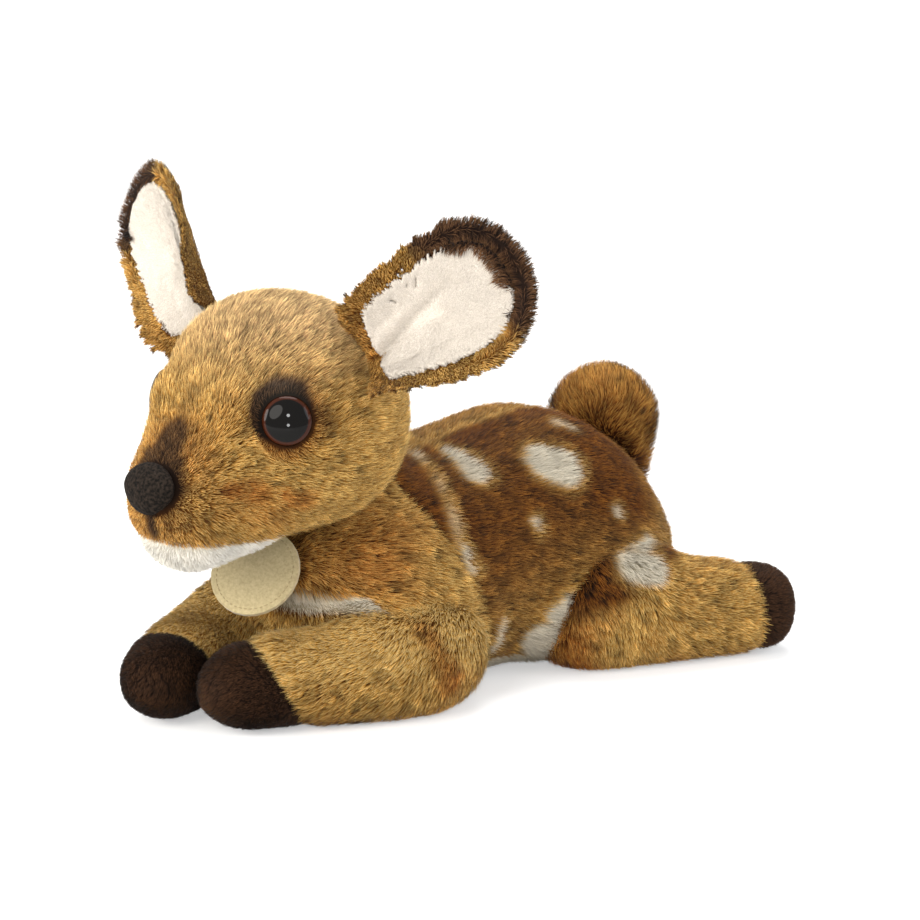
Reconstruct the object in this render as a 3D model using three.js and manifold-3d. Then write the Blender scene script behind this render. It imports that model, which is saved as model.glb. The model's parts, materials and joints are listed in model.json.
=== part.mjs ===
// A lying plush fawn. Lengths are in millimetres and angles in degrees.
// +Z is up, the fawn faces -Y, and its left side is +X.
// The origin is at the bottom middle of its box.

import * as THREE from 'three';
import { mergeVertices } from 'three/addons/utils/BufferGeometryUtils.js';
import Module from 'manifold-3d';

const wasm = await Module();
wasm.setup();

const { degToRad } = THREE.MathUtils;

// Cloth, seams and running gaps

const coverThickness = 2.4;
const seamGap = 0.3;
const stuffingGap = 0.3;
const cutOverrun = 5;
const sweepStep = 10;

// Body: a long form that runs from the chest to the rump

const bodyLength = 208;
const bodyWidth = 98;
const bodyHeight = 97;
const chestReach = 80;
const bodyForm = {
  size: { length: bodyLength, width: bodyWidth, height: bodyHeight },
  // along, across, rise, half width, above, below
  rowShares: [
    [0.00, 0, 0.50, 0.37, 0.27, 0.36],
    [0.12, 0, 0.49, 0.42, 0.35, 0.44],
    [0.25, 0, 0.48, 0.46, 0.42, 0.49],
    [0.40, 0, 0.48, 0.48, 0.46, 0.50],
    [0.55, 0, 0.49, 0.49, 0.50, 0.51],
    [0.70, 0, 0.49, 0.50, 0.51, 0.51],
    [0.85, 0, 0.42, 0.46, 0.38, 0.44],
    [1.00, 0, 0.22, 0.42, 0.22, 0.24],
  ],
  startRoundShare: 0.20,
  endRoundShare: 0.20,
  squareness: 2.25,
  rings: 18,
  spokes: 20,
  upright: true,
};

// Neck: the round top of the front cover, which the head turns on

const neckRadius = 27;
const neckBack = 42;
const neckHeight = 77;
const neckOpeningShare = 0.62;
const neckSpokes = 20;
const neckRings = 12;

// Seams of the body, drawn from its left side

const shoulderSeamBack = 37;
const shoulderSeamLean = 27;
const bellySeamHeight = 9;
const bellySeamRearShare = 0.93;
const breastSeamHeight = 46;
const breastSeamBack = 20;
const breastSeamSlope = 0.75;

// Pellet bag, which lies on the belly panel

const bagLength = 84;
const bagWidth = 58;
const bagHeight = 22;
const bagBackShare = 0.56;
const bagSpokes = 18;
const bagRings = 6;

// Head: runs from the nape to the muzzle

const headLength = 114;
const headWidth = 96;
const headHeight = 99;
const headBottom = 62;
const napeSetback = 57;
const headForm = {
  size: { length: headLength, width: headWidth, height: headHeight },
  rowShares: [
    [0.00, 0, 0.52, 0.42, 0.38, 0.38],
    [0.15, 0, 0.51, 0.46, 0.43, 0.40],
    [0.33, 0, 0.51, 0.49, 0.47, 0.42],
    [0.50, 0, 0.51, 0.49, 0.48, 0.42],
    [0.64, 0, 0.46, 0.445, 0.44, 0.415],
    [0.76, 0, 0.37, 0.34, 0.36, 0.36],
    [0.87, 0, 0.30, 0.28, 0.25, 0.31],
    [1.00, 0, 0.26, 0.24, 0.19, 0.23],
  ],
  startRoundShare: 0.34,
  endRoundShare: 0.12,
  squareness: 2.15,
  rings: 18,
  spokes: 20,
  upright: true,
};
const headTurn = 20;

// Chin panel

const chinSeamHeight = 13;
const chinRearShare = 0.40;

// Eyes, with a stem and a lock washer inside the cover

const eyeDiameter = 17.8;
const eyeDepth = 3.4;
const eyeSink = 1.2;
const eyeShare = 0.63;
const eyeAngle = 22.5;
const eyeSpokes = 20;
const eyeRings = 7;
const stemDiameter = 4.2;
const stemLength = 10;
const stemRise = 2;
const stemClearance = 0.4;
const washerDiameter = 13;
const washerThickness = 2.2;

// Nose, with the same stem and washer

const noseWidth = 26;
const noseHeight = 19.5;
const noseDepth = 6;
const noseShare = 0.991;
const noseTaperShare = 0.22;
const noseRings = 8;

// Ears: a cupped leaf of fur cloth with a paler leaf sewn into its hollow

const earLength = 76;
const earWidth = 58;
const earThickness = 4;
const earCup = 18;
const earRootDepth = 2.5;
const earSeatShare = 0.31;
const earSeatAngle = 31;
const earPoses = {
  left: {
    side: 1,
    aim: { out: 0.80, back: 0.33, up: 0.55 },
    face: { out: 0.20, front: 0.92, up: 0.23 },
  },
  right: {
    side: -1,
    aim: { out: 0.73, back: 0.05, up: 0.79 },
    face: { out: 0.42, front: 0.91, up: 0.22 },
  },
};
const liningThickness = 1.6;
const liningMargin = 8.8;
const liningStart = 10;
const liningRoundShare = 0.12;
const earFlop = 20;
const earForm = {
  size: { length: earLength, width: earWidth, height: earCup },
  // along, across, rise, half width, above, below, cup
  rowShares: [
    [0.00, 0, 0.00, 0.30, 0, 0, 0.66],
    [0.14, 0, 0.00, 0.345, 0, 0, 1.15],
    [0.32, 0, 0.00, 0.435, 0, 0, 1.10],
    [0.52, 0, 0.00, 0.50, 0, 0, 0.70],
    [0.72, 0, 0.00, 0.51, 0, 0, 0.45],
    [0.88, 0, 0.05, 0.42, 0, 0, 0.30],
    [1.00, 0, 0.10, 0.36, 0, 0, 0.22],
  ],
  startRoundShare: 0.05,
  endRoundShare: 0.22,
  squareness: 2,
  rings: 10,
  spokes: 12,
  thickness: earThickness,
};

// Tail

const tailLength = 56;
const tailWidth = 45;
const tailDepth = 41;
const tailSeatShare = 0.89;
const tailSink = 16;
const tailLean = -6;
const tailWag = 18;
const tailForm = {
  size: { length: tailLength, width: tailWidth, height: tailDepth },
  rowShares: [
    [0.00, 0, 0.00, 0.40, 0.40, 0.40],
    [0.35, 0, 0.00, 0.44, 0.44, 0.44],
    [0.70, 0, 0.00, 0.50, 0.50, 0.50],
    [1.00, 0, 0.00, 0.48, 0.48, 0.48],
  ],
  startRoundShare: 0.25,
  endRoundShare: 0.42,
  squareness: 2.1,
  rings: 10,
  spokes: 12,
};

// Front legs: they lie ahead of the elbow, with a dark hoof cup sewn to the end

const frontLegLength = 106.5;
const frontLegWidth = 40;
const frontLegHeight = 39.5;
const frontLegRootBack = 63.2;
const frontLegRootOut = 30;
const frontHoofLength = 30;
const frontSeamLean = 30;
const frontPivotShare = 0.20;
const frontSplay = 15;
const frontLegForm = {
  size: { length: frontLegLength, width: frontLegWidth, height: frontLegHeight },
  rowShares: [
    [0.00, 0.00, 0.60, 0.46, 0.44, 0.46],
    [0.18, 0.25, 0.52, 0.52, 0.50, 0.52],
    [0.36, 0.15, 0.49, 0.50, 0.50, 0.50],
    [0.57, -0.10, 0.46, 0.46, 0.48, 0.47],
    [0.79, -0.37, 0.45, 0.43, 0.46, 0.46],
    [1.00, -0.50, 0.42, 0.42, 0.42, 0.44],
  ],
  startRoundShare: 0.16,
  endRoundShare: 0.20,
  squareness: 2.2,
  rings: 12,
  spokes: 12,
};
const frontLegPoses = {
  left: { side: 1, ahead: 0, turn: 0 },
  right: { side: -1, ahead: 12, turn: -2 },
};

// Rear legs: stretched back and out, with the same cup

const rearLegLength = 106;
const rearLegWidth = 46;
const rearLegHeight = 46;
const rearLegRootBack = 116;
const rearLegRootOut = 34;
const rearLegTurn = 26;
const rearHoofLength = 24;
const rearSeamLean = -6;
const rearPivotShare = 0.20;
const rearSplayIn = 5;
const rearSplayOut = 12;
const rearLegForm = {
  size: { length: rearLegLength, width: rearLegWidth, height: rearLegHeight },
  rowShares: [
    [0.00, 0.00, 0.56, 0.44, 0.46, 0.50],
    [0.20, 0.02, 0.51, 0.50, 0.48, 0.52],
    [0.42, 0.03, 0.48, 0.49, 0.46, 0.50],
    [0.64, 0.02, 0.44, 0.45, 0.42, 0.45],
    [0.82, 0.01, 0.41, 0.42, 0.39, 0.42],
    [1.00, 0.00, 0.40, 0.40, 0.38, 0.40],
  ],
  startRoundShare: 0.20,
  endRoundShare: 0.12,
  squareness: 2.2,
  rings: 12,
  spokes: 12,
};

// Round cloth tag on a cord loop under the throat

const tagDiameter = 35;
const tagThickness = 1.8;
const tagHoleDiameter = 3.4;
const tagHoleInset = 4;
const tagTilt = 36;
const tagTurn = 24;
const tagOut = 3;
const tagAhead = 88;
const tagHeight = 56;
const tagSpokes = 26;
const loopDiameter = 8.5;
const loopCordDiameter = 1.3;
const loopRings = 18;
const loopSpokes = 6;

// Colours

const furFinish = { roughness: 0.95, metalness: 0 };
const finishes = {
  goldenFur: { color: 0xb98b4f, ...furFinish },
  saddleFur: { color: 0x6f4a26, ...furFinish },
  legFur: { color: 0xb3854a, ...furFinish },
  whiteFur: { color: 0xe9e2d6, ...furFinish },
  hoofFur: { color: 0x3a2214, ...furFinish },
  tailFur: { color: 0xa87840, ...furFinish },
  stuffing: { color: 0xf2f0ea, ...furFinish },
  pelletCloth: { color: 0xd8d4c8, roughness: 0.9, metalness: 0 },
  eyeGloss: { color: 0x120c08, roughness: 0.08, metalness: 0 },
  washerPlastic: { color: 0xdedcd6, roughness: 0.5, metalness: 0 },
  noseFlock: { color: 0x17120f, roughness: 0.85, metalness: 0 },
  tagCloth: { color: 0xc9b78c, roughness: 0.8, metalness: 0 },
  loopCord: { color: 0xe2dccb, roughness: 0.7, metalness: 0 },
};

// Solids

/** A manifold solid from corner points and triangles, turned right side out. */
function solidFrom(corners, triangles) {
  const points = new Float32Array(corners.flatMap((corner) => corner.toArray()));
  let volume = 0;
  for (const [a, b, c] of triangles) {
    volume += corners[a].dot(new THREE.Vector3().crossVectors(corners[b], corners[c]));
  }
  const ordered = volume < 0 ? triangles.map(([a, b, c]) => [a, c, b]) : triangles;
  const mesh = new wasm.Mesh({
    numProp: 3,
    vertProperties: points,
    triVerts: new Uint32Array(ordered.flat()),
  });
  return new wasm.Manifold(mesh);
}

/** Triangles that close rings of points between a first and a last pole. */
function ringTriangles(ringCount, spokes) {
  const triangles = [];
  const last = ringCount * spokes + 1;
  for (let spoke = 0; spoke < spokes; spoke += 1) {
    const next = (spoke + 1) % spokes;
    triangles.push([0, 1 + next, 1 + spoke]);
    for (let ring = 0; ring + 1 < ringCount; ring += 1) {
      const near = 1 + ring * spokes;
      const far = near + spokes;
      triangles.push([near + spoke, near + next, far + next]);
      triangles.push([near + spoke, far + next, far + spoke]);
    }
    const end = 1 + (ringCount - 1) * spokes;
    triangles.push([last, end + spoke, end + next]);
  }
  return triangles;
}

/** How far a rounded end has opened at a place along a form: 0 at its tip and 1 where it is full. */
function endOpening(form, share) {
  const start = Math.min(share / form.startRoundShare, 1);
  const end = Math.min((1 - share) / form.endRoundShare, 1);
  return Math.sqrt(1 - (1 - start) ** 2) * Math.sqrt(1 - (1 - end) ** 2);
}

/** The smooth curves that a form's table stands for. */
function formCurves(form) {
  const { length, width, height } = form.size;
  const pass = (read) => {
    return new THREE.CatmullRomCurve3(form.rowShares.map(read), false, 'catmullrom');
  };
  return {
    middle: pass(([along, across, rise]) => {
      return new THREE.Vector3(across * width, along * length, rise * height);
    }),
    reach: pass(([, , , half, above, below]) => {
      return new THREE.Vector3(half * width, above * height, below * height);
    }),
    cup: pass((row) => new THREE.Vector3((row[6] ?? 0) * height, 0, 0)),
  };
}

/** The point of a form's skin at a place along it and an angle round it, 90 degrees being its top. */
function skinPoint(form, curves, share, turn, inset) {
  const endShare = inset / form.size.length;
  const wanted = THREE.MathUtils.lerp(endShare, 1 - endShare, share);
  const place = THREE.MathUtils.clamp(wanted, 0, 1);
  const reach = curves.reach.getPoint(place);
  const ahead = form.upright ? new THREE.Vector3(0, 1, 0) : curves.middle.getTangent(place);
  const overshoot = (wanted - place) * form.size.length;
  const middle = curves.middle.getPoint(place).addScaledVector(ahead, overshoot);
  const across = new THREE.Vector3(ahead.y, -ahead.x, 0).normalize();
  const up = new THREE.Vector3().crossVectors(across, ahead).normalize();
  const opening = endOpening(form, share);
  const cosine = Math.cos(turn);
  const sine = Math.sin(turn);
  const power = 2 / form.squareness;
  const half = reach.x - inset;
  const tall = form.thickness ? form.thickness / 2 - inset : (sine < 0 ? reach.z : reach.y) - inset;
  const sideways = Math.sign(cosine) * Math.abs(cosine) ** power * half * opening;
  const upwards = Math.sign(sine) * Math.abs(sine) ** power * tall * opening;
  const cup = curves.cup.getPoint(place).x * (sideways / reach.x) ** 2;
  return middle.addScaledVector(across, sideways).addScaledVector(up, upwards + cup);
}

/** A closed stuffed form, moved in from its skin by the inset or out by a negative one. */
function softSolid(form, placement, inset = 0) {
  const curves = formCurves(form);
  const corners = [skinPoint(form, curves, 0, 0, inset)];
  const ringCount = form.rings - 1;
  for (let ring = 1; ring <= ringCount; ring += 1) {
    const share = (1 - Math.cos((Math.PI * ring) / form.rings)) / 2;
    for (let spoke = 0; spoke < form.spokes; spoke += 1) {
      const turn = (2 * Math.PI * spoke) / form.spokes;
      corners.push(skinPoint(form, curves, share, turn, inset));
    }
  }
  corners.push(skinPoint(form, curves, 1, 0, inset));
  corners.forEach((corner) => corner.applyMatrix4(placement));
  return solidFrom(corners, ringTriangles(ringCount, form.spokes));
}

/** What lies inside a form's cover, with half as many rings and spokes as the cover's outside. */
function innerSolid(form, placement, inset = coverThickness) {
  const coarse = { ...form, rings: form.rings / 2, spokes: form.spokes / 2 };
  return softSolid(coarse, placement, inset);
}

/** The filling inside a form's cover. */
function fillSolid(form, placement) {
  return innerSolid(form, placement, coverThickness + stuffingGap);
}

// How far apart points are taken to find which way a skin faces, as a share or in radians

const nudge = 1e-3;

/** A point on a placed form's skin, with the direction that the skin faces there. */
function seatOn(form, placement, share, angle) {
  const curves = formCurves(form);
  const at = (place, turn) => skinPoint(form, curves, place, turn, 0).applyMatrix4(placement);
  const turn = degToRad(angle);
  const point = at(share, turn);
  const ahead = at(share + nudge, turn).sub(at(share - nudge, turn));
  const round = at(share, turn + nudge).sub(at(share, turn - nudge));
  const normal = new THREE.Vector3().crossVectors(ahead, round).normalize();
  const middle = curves.middle.getPoint(share).applyMatrix4(placement);
  if (normal.dot(point.clone().sub(middle)) < 0) normal.negate();
  return { point, normal };
}

/** A solid from one of three.js's closed geometries, put in its place. */
function solidOf(geometry, placement = new THREE.Matrix4()) {
  const bare = geometry.clone();
  bare.deleteAttribute('normal');
  bare.deleteAttribute('uv');
  const merged = mergeVertices(bare);
  const position = merged.getAttribute('position');
  const corners = [];
  for (let index = 0; index < position.count; index += 1) {
    const corner = new THREE.Vector3().fromBufferAttribute(position, index);
    corners.push(corner.applyMatrix4(placement));
  }
  const triangles = [];
  for (let start = 0; start < merged.index.count; start += 3) {
    const [a, b, c] = merged.index.array.slice(start, start + 3);
    if (a !== b && b !== c && c !== a) triangles.push([a, b, c]);
  }
  return solidFrom(corners, triangles);
}

/** A placement whose local Y runs along one direction and whose local Z leans to another. */
function placementOf(origin, along, upish, side = 1) {
  const ahead = along.clone().normalize();
  const across = new THREE.Vector3().crossVectors(ahead, upish).normalize().multiplyScalar(side);
  const up = new THREE.Vector3().crossVectors(across, ahead).normalize().multiplyScalar(side);
  return new THREE.Matrix4().makeBasis(across, ahead, up).setPosition(origin);
}

/** A turn about a line through a point. */
function turnAbout(point, axis, angle) {
  const back = new THREE.Matrix4().makeTranslation(point.clone().negate());
  const turn = new THREE.Matrix4().makeRotationAxis(axis.clone().normalize(), degToRad(angle));
  return new THREE.Matrix4().makeTranslation(point).multiply(turn).multiply(back);
}

/** The space that a neighbour takes as a joint goes from one limit to the other. */
function sweptSpace(neighbour, joint) {
  const steps = Math.max(2, Math.ceil((joint.max - joint.min) / sweepStep) + 1);
  let space = neighbour;
  for (let step = 0; step < steps; step += 1) {
    const angle = THREE.MathUtils.lerp(joint.min, joint.max, step / (steps - 1));
    const turn = turnAbout(joint.point, joint.axis, -angle);
    space = space.add(neighbour.transform(turn.toArray()));
  }
  return space;
}

/** The half of space on the far side of a plane, large enough to cut this toy. */
function halfSpace(point, normal) {
  const size = bodyLength + headLength;
  const away = normal.clone().normalize();
  const middle = point.clone().addScaledVector(away, size / 2);
  const turn = new THREE.Quaternion().setFromUnitVectors(new THREE.Vector3(0, 0, 1), away);
  const placement = new THREE.Matrix4().compose(middle, turn, new THREE.Vector3(1, 1, 1));
  return solidOf(new THREE.BoxGeometry(size, size, size), placement);
}

/** A side view outline, given as back and height, that reaches right across the toy. */
function sideCut(outline) {
  const shape = new THREE.Shape(outline.map(([back, height]) => new THREE.Vector2(back, height)));
  const width = bodyWidth + 2 * earLength;
  const geometry = new THREE.ExtrudeGeometry(shape, { depth: width, bevelEnabled: false });
  const placement = new THREE.Matrix4().makeBasis(
    new THREE.Vector3(0, 1, 0),
    new THREE.Vector3(0, 0, 1),
    new THREE.Vector3(1, 0, 0),
  );
  placement.setPosition(-width / 2, 0, 0);
  return solidOf(geometry, placement);
}

const topAngle = 90;
const upright = new THREE.Vector3(0, 0, 1);
const rearwards = new THREE.Vector3(0, 1, 0);
const forwards = new THREE.Vector3(0, -1, 0);
const floor = halfSpace(new THREE.Vector3(), new THREE.Vector3(0, 0, -1));

const pieces = [];

/** Files a finished piece under its name. */
function addPiece(name, solid, finish, pivot = new THREE.Vector3()) {
  pieces.push({ name, solid, finish, pivot });
}

// Body

const bodyPlacement = placementOf(new THREE.Vector3(0, -chestReach, 0), rearwards, upright);
const neckPoint = new THREE.Vector3(0, -neckBack, neckHeight);

/** The neck's ball at any radius, spread sideways where it has to hold every turn of itself. */
function neckBall(radius, spread = 1) {
  const geometry = new THREE.SphereGeometry(radius, neckSpokes, neckRings);
  const place = new THREE.Matrix4().makeTranslation(neckPoint);
  place.scale(new THREE.Vector3(spread, spread, 1));
  return solidOf(geometry, place.multiply(new THREE.Matrix4().makeRotationX(Math.PI / 2)));
}

/** The whole body from its long form and its neck, both moved in or out by the inset. */
function wholeBody(form, inset) {
  return form.add(neckBall(neckRadius - inset)).subtract(floor.translate([0, 0, inset]));
}

const bodyOuter = wholeBody(softSolid(bodyForm, bodyPlacement), 0);
const bodyShell = bodyOuter.subtract(
  wholeBody(innerSolid(bodyForm, bodyPlacement), coverThickness),
);
const neckOpening = solidOf(
  new THREE.BoxGeometry(2 * neckRadius, 2 * neckRadius, neckRadius),
  new THREE.Matrix4().makeTranslation(0, -neckBack, neckHeight + neckRadius * neckOpeningShare),
).translate([0, 0, neckRadius / 2]);
const shoulderPoint = new THREE.Vector3(0, shoulderSeamBack - chestReach, bodyHeight);
const shoulderNormal = new THREE.Vector3(
  0,
  Math.cos(degToRad(shoulderSeamLean)),
  Math.sin(degToRad(shoulderSeamLean)),
);
const breastY = breastSeamBack - chestReach;
const bellyRear = bodyLength * bellySeamRearShare - chestReach;

/** The side view of everything under the belly seam, raised by a gap or lowered by a negative one. */
function bellyCut(raise) {
  const front = -chestReach - cutOverrun;
  return sideCut([
    [front, -cutOverrun],
    [front, breastSeamHeight + raise],
    [breastY + raise, breastSeamHeight + raise],
    [breastY + breastSeamHeight * breastSeamSlope + raise, bellySeamHeight + raise],
    [bellyRear + raise, bellySeamHeight + raise],
    [bellyRear + raise, -cutOverrun],
  ]);
}

const upperShell = bodyShell.subtract(bellyCut(seamGap)).subtract(neckOpening);
const behindShoulder = halfSpace(shoulderPoint, shoulderNormal);
const beforeShoulder = halfSpace(
  shoulderPoint.clone().addScaledVector(shoulderNormal, -seamGap),
  shoulderNormal.clone().negate(),
);
addPiece('front_cover', upperShell.intersect(beforeShoulder), finishes.goldenFur);
addPiece('saddle_cover', upperShell.intersect(behindShoulder), finishes.saddleFur);
addPiece('belly_panel', bodyShell.intersect(bellyCut(0)), finishes.whiteFur);

/** The pellet bag as a flat cushion, moved in or out. */
function pelletBag(inset) {
  const place = new THREE.Matrix4().makeTranslation(
    0,
    bodyLength * bagBackShare - chestReach,
    coverThickness + stuffingGap + bagHeight / 2,
  );
  place.scale(new THREE.Vector3(bagWidth, bagLength, bagHeight).divideScalar(2).subScalar(inset));
  const upturned = new THREE.Matrix4().makeRotationX(Math.PI / 2);
  const geometry = new THREE.SphereGeometry(1, bagSpokes, bagRings);
  return solidOf(geometry, place.multiply(upturned));
}

const bodyRoom = wholeBody(fillSolid(bodyForm, bodyPlacement), coverThickness + stuffingGap)
  .subtract(neckOpening);
addPiece('pellet_bag', pelletBag(0).intersect(bodyRoom), finishes.pelletCloth);
addPiece('body_stuffing', bodyRoom.subtract(pelletBag(-stuffingGap)), finishes.stuffing);

// Head

const headPlacement = placementOf(
  new THREE.Vector3(0, napeSetback - chestReach, headBottom),
  forwards,
  upright,
  -1,
);
const neckJoint = { point: neckPoint, axis: upright, min: -headTurn, max: headTurn };
const bodyFormSpace = softSolid(bodyForm, bodyPlacement, -seamGap);
const bodyClearance = wholeBody(bodyFormSpace, -seamGap);
const neckSpace = sweptSpace(bodyFormSpace, neckJoint)
  .add(neckBall(neckRadius + seamGap, 1 / Math.cos(Math.PI / neckSpokes)));
const headOuter = softSolid(headForm, headPlacement);
const headClearance = softSolid(headForm, headPlacement, -seamGap);
const headInner = innerSolid(headForm, headPlacement);
const headFillForm = fillSolid(headForm, headPlacement);

const chinFront = napeSetback - chestReach - headLength;
const chinBack = napeSetback - chestReach - headLength * chinRearShare;

/** The side view of the chin panel's place under the muzzle. */
function chinCut(raise) {
  const top = headBottom + chinSeamHeight + raise;
  return sideCut([
    [chinFront - cutOverrun, headBottom - cutOverrun],
    [chinFront - cutOverrun, top],
    [chinBack + raise, top],
    [chinBack + raise, headBottom - cutOverrun],
  ]);
}

/** A fitting pushed through the head's cover: its cap, its stem, its washer and what they need cut. */
function fitting(share, angle, cap, side) {
  const seat = seatOn(headForm, headPlacement, share, angle);
  seat.point.x *= side;
  seat.normal.x *= side;
  const placeAt = (lift) => {
    const point = seat.point.clone().addScaledVector(seat.normal, lift);
    return placementOf(point, seat.normal, upright);
  };
  const round = (diameter, height, lift) => {
    const geometry = new THREE.CylinderGeometry(diameter / 2, diameter / 2, height, eyeSpokes);
    return solidOf(geometry, placeAt(lift));
  };
  const stem = round(stemDiameter, stemLength + stemRise, (stemRise - stemLength) / 2);
  const washerDepth = coverThickness + washerThickness / 2;
  const bore = round(stemDiameter + 2 * stemClearance, 2 * stemLength, -stemLength / 2);
  const ring = round(washerDiameter, 2 * washerThickness, -washerDepth).intersect(headFillForm);
  const washer = ring.subtract(bore);
  const washerSpace = round(
    washerDiameter + 2 * stuffingGap,
    2 * washerThickness + 2 * stuffingGap,
    -washerDepth,
  );
  const stemSpace = round(
    stemDiameter + 2 * stemClearance,
    2 * stemLength + 2 * stuffingGap,
    0,
  );
  const capPlace = placeAt(0);
  const body = cap(capPlace).subtract(headClearance).add(stem);
  return { body, washer, bore, fillSpace: washerSpace.add(stemSpace) };
}

/** The domed cap of an eye, with a collar that reaches under the skin. */
function eyeCap(place) {
  const radius = eyeDiameter / 2;
  const profile = [new THREE.Vector2(0, -eyeDepth), new THREE.Vector2(radius, -eyeDepth)];
  for (let ring = 0; ring < eyeRings; ring += 1) {
    const turn = (Math.PI * ring) / (2 * eyeRings);
    const height = Math.sin(turn) * (eyeDepth + eyeSink) - eyeSink;
    profile.push(new THREE.Vector2(Math.cos(turn) * radius, height));
  }
  profile.push(new THREE.Vector2(0, eyeDepth));
  return solidOf(new THREE.LatheGeometry(profile, eyeSpokes), place);
}

/** The nose, drawn in towards its lower end. */
function noseCap(place) {
  const geometry = new THREE.SphereGeometry(1, eyeSpokes, noseRings);
  const position = geometry.getAttribute('position');
  for (let index = 0; index < position.count; index += 1) {
    const lowness = Math.max(-position.getZ(index), 0);
    position.setX(index, position.getX(index) * (1 - noseTaperShare * lowness));
  }
  const size = new THREE.Vector3(noseWidth / 2, noseDepth, noseHeight / 2);
  return solidOf(geometry, place.clone().scale(size));
}

const sides = { left: 1, right: -1 };
const headFittings = {
  eye_left: fitting(eyeShare, eyeAngle, eyeCap, sides.left),
  eye_right: fitting(eyeShare, eyeAngle, eyeCap, sides.right),
  nose: fitting(noseShare, topAngle, noseCap, sides.left),
};

/** Where an ear is sewn on, and how it stands. */
function earPlace(pose) {
  const { side } = pose;
  const seat = seatOn(headForm, headPlacement, earSeatShare, earSeatAngle);
  const aim = new THREE.Vector3(pose.aim.out, pose.aim.back, pose.aim.up).normalize();
  const face = new THREE.Vector3(pose.face.out, -pose.face.front, pose.face.up);
  const root = seat.point.clone().addScaledVector(aim, -earRootDepth);
  const mirror = new THREE.Matrix4().makeScale(side, 1, 1);
  const placement = mirror.clone().multiply(placementOf(root, aim, face));
  const across = new THREE.Vector3().crossVectors(aim, face).normalize();
  const point = seat.point.clone().applyMatrix4(mirror);
  const axis = new THREE.Vector3(across.x, side * across.y, side * across.z);
  return { placement, joint: { point, axis, min: -earFlop, max: earFlop } };
}

/** The ear's paler leaf: the same leaf, smaller all round and laid in the hollow. */
function liningForm() {
  const shrink = 1 - (2 * liningMargin) / earWidth;
  const startShare = liningStart / earLength;
  const endShare = 1 - liningMargin / earLength;
  const lift = (earThickness + liningThickness) / 2 + 2 * seamGap;
  const curves = formCurves(earForm);
  const rowShares = earForm.rowShares.map((_, index, rows) => {
    const share = THREE.MathUtils.lerp(startShare, endShare, index / (rows.length - 1));
    const middle = curves.middle.getPoint(share);
    const reach = curves.reach.getPoint(share);
    const cup = curves.cup.getPoint(share).x;
    return [
      middle.y / earLength,
      0,
      (middle.z + lift) / earCup,
      (reach.x / earWidth) * shrink,
      0,
      0,
      (cup / earCup) * shrink ** 2,
    ];
  });
  return { ...earForm, rowShares, thickness: liningThickness, startRoundShare: liningRoundShare };
}

let headShell = headOuter.subtract(headInner).subtract(neckSpace);
let headFill = headFillForm.subtract(neckSpace);
for (const piece of Object.values(headFittings)) {
  headShell = headShell.subtract(piece.bore);
  headFill = headFill.subtract(piece.fillSpace);
}
for (const [name, pose] of Object.entries(earPoses)) {
  const { placement, joint } = earPlace(pose);
  const skinSpace = sweptSpace(headClearance, joint);
  const lining = softSolid(liningForm(), placement).subtract(skinSpace);
  const back = softSolid(earForm, placement)
    .subtract(softSolid(liningForm(), placement, -seamGap))
    .subtract(skinSpace);
  addPiece(`ear_back_${name}`, back, finishes.goldenFur, joint.point);
  addPiece(`ear_lining_${name}`, lining, finishes.whiteFur, joint.point);
}

// Tag, which hangs in front of the chest on a loop sewn in under the throat

const tagNormal = new THREE.Vector3(
  Math.sin(degToRad(tagTurn)) * Math.cos(degToRad(tagTilt)),
  -Math.cos(degToRad(tagTurn)) * Math.cos(degToRad(tagTilt)),
  Math.sin(degToRad(tagTilt)),
);
const tagAcross = new THREE.Vector3().crossVectors(upright, tagNormal).normalize();
const tagUp = new THREE.Vector3().crossVectors(tagNormal, tagAcross).normalize();
const tagMiddle = new THREE.Vector3(tagOut, -tagAhead, tagHeight);
const tagHole = tagMiddle.clone().addScaledVector(tagUp, tagDiameter / 2 - tagHoleInset);
const tagHinge = tagHole.clone().addScaledVector(tagUp, tagHoleDiameter / 2);

/** A round plate of the tag, or its hole, about a point on its middle plane. */
function tagRound(diameter, thickness, middle) {
  const geometry = new THREE.CylinderGeometry(diameter / 2, diameter / 2, thickness, tagSpokes);
  return solidOf(geometry, placementOf(middle, tagNormal, tagUp));
}

/** The cord loop, as a ring through the tag's hole and over its top edge. */
function cordLoop(inset) {
  const ring = new THREE.TorusGeometry(
    (loopDiameter - loopCordDiameter) / 2,
    loopCordDiameter / 2 - inset,
    loopSpokes,
    loopRings,
  );
  const place = new THREE.Matrix4().makeBasis(tagUp, tagNormal, tagAcross);
  const middle = tagHole.clone().addScaledVector(tagUp, (loopDiameter - loopCordDiameter) / 2);
  return solidOf(ring, place.setPosition(middle));
}

const loopSpace = cordLoop(-seamGap);
const tagDisc = tagRound(tagDiameter, tagThickness, tagMiddle);
const tagBore = tagRound(tagHoleDiameter, tagThickness + 2 * cutOverrun, tagHole);
addPiece('tag_disc', tagDisc.subtract(tagBore), finishes.tagCloth, tagHinge);
addPiece('tag_loop', cordLoop(0), finishes.loopCord);

headShell = headShell.subtract(loopSpace);
headFill = headFill.subtract(loopSpace);
addPiece('head_cover', headShell.subtract(chinCut(seamGap)), finishes.goldenFur);
addPiece('chin_panel', headShell.intersect(chinCut(0)), finishes.whiteFur);
addPiece('head_stuffing', headFill, finishes.stuffing);
for (const [name, { body, washer }] of Object.entries(headFittings)) {
  const finish = name === 'nose' ? finishes.noseFlock : finishes.eyeGloss;
  addPiece(name, body, finish);
  addPiece(name.replace(/^(eye|nose)/, '$1_washer'), washer, finishes.washerPlastic);
}

// Tail

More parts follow.
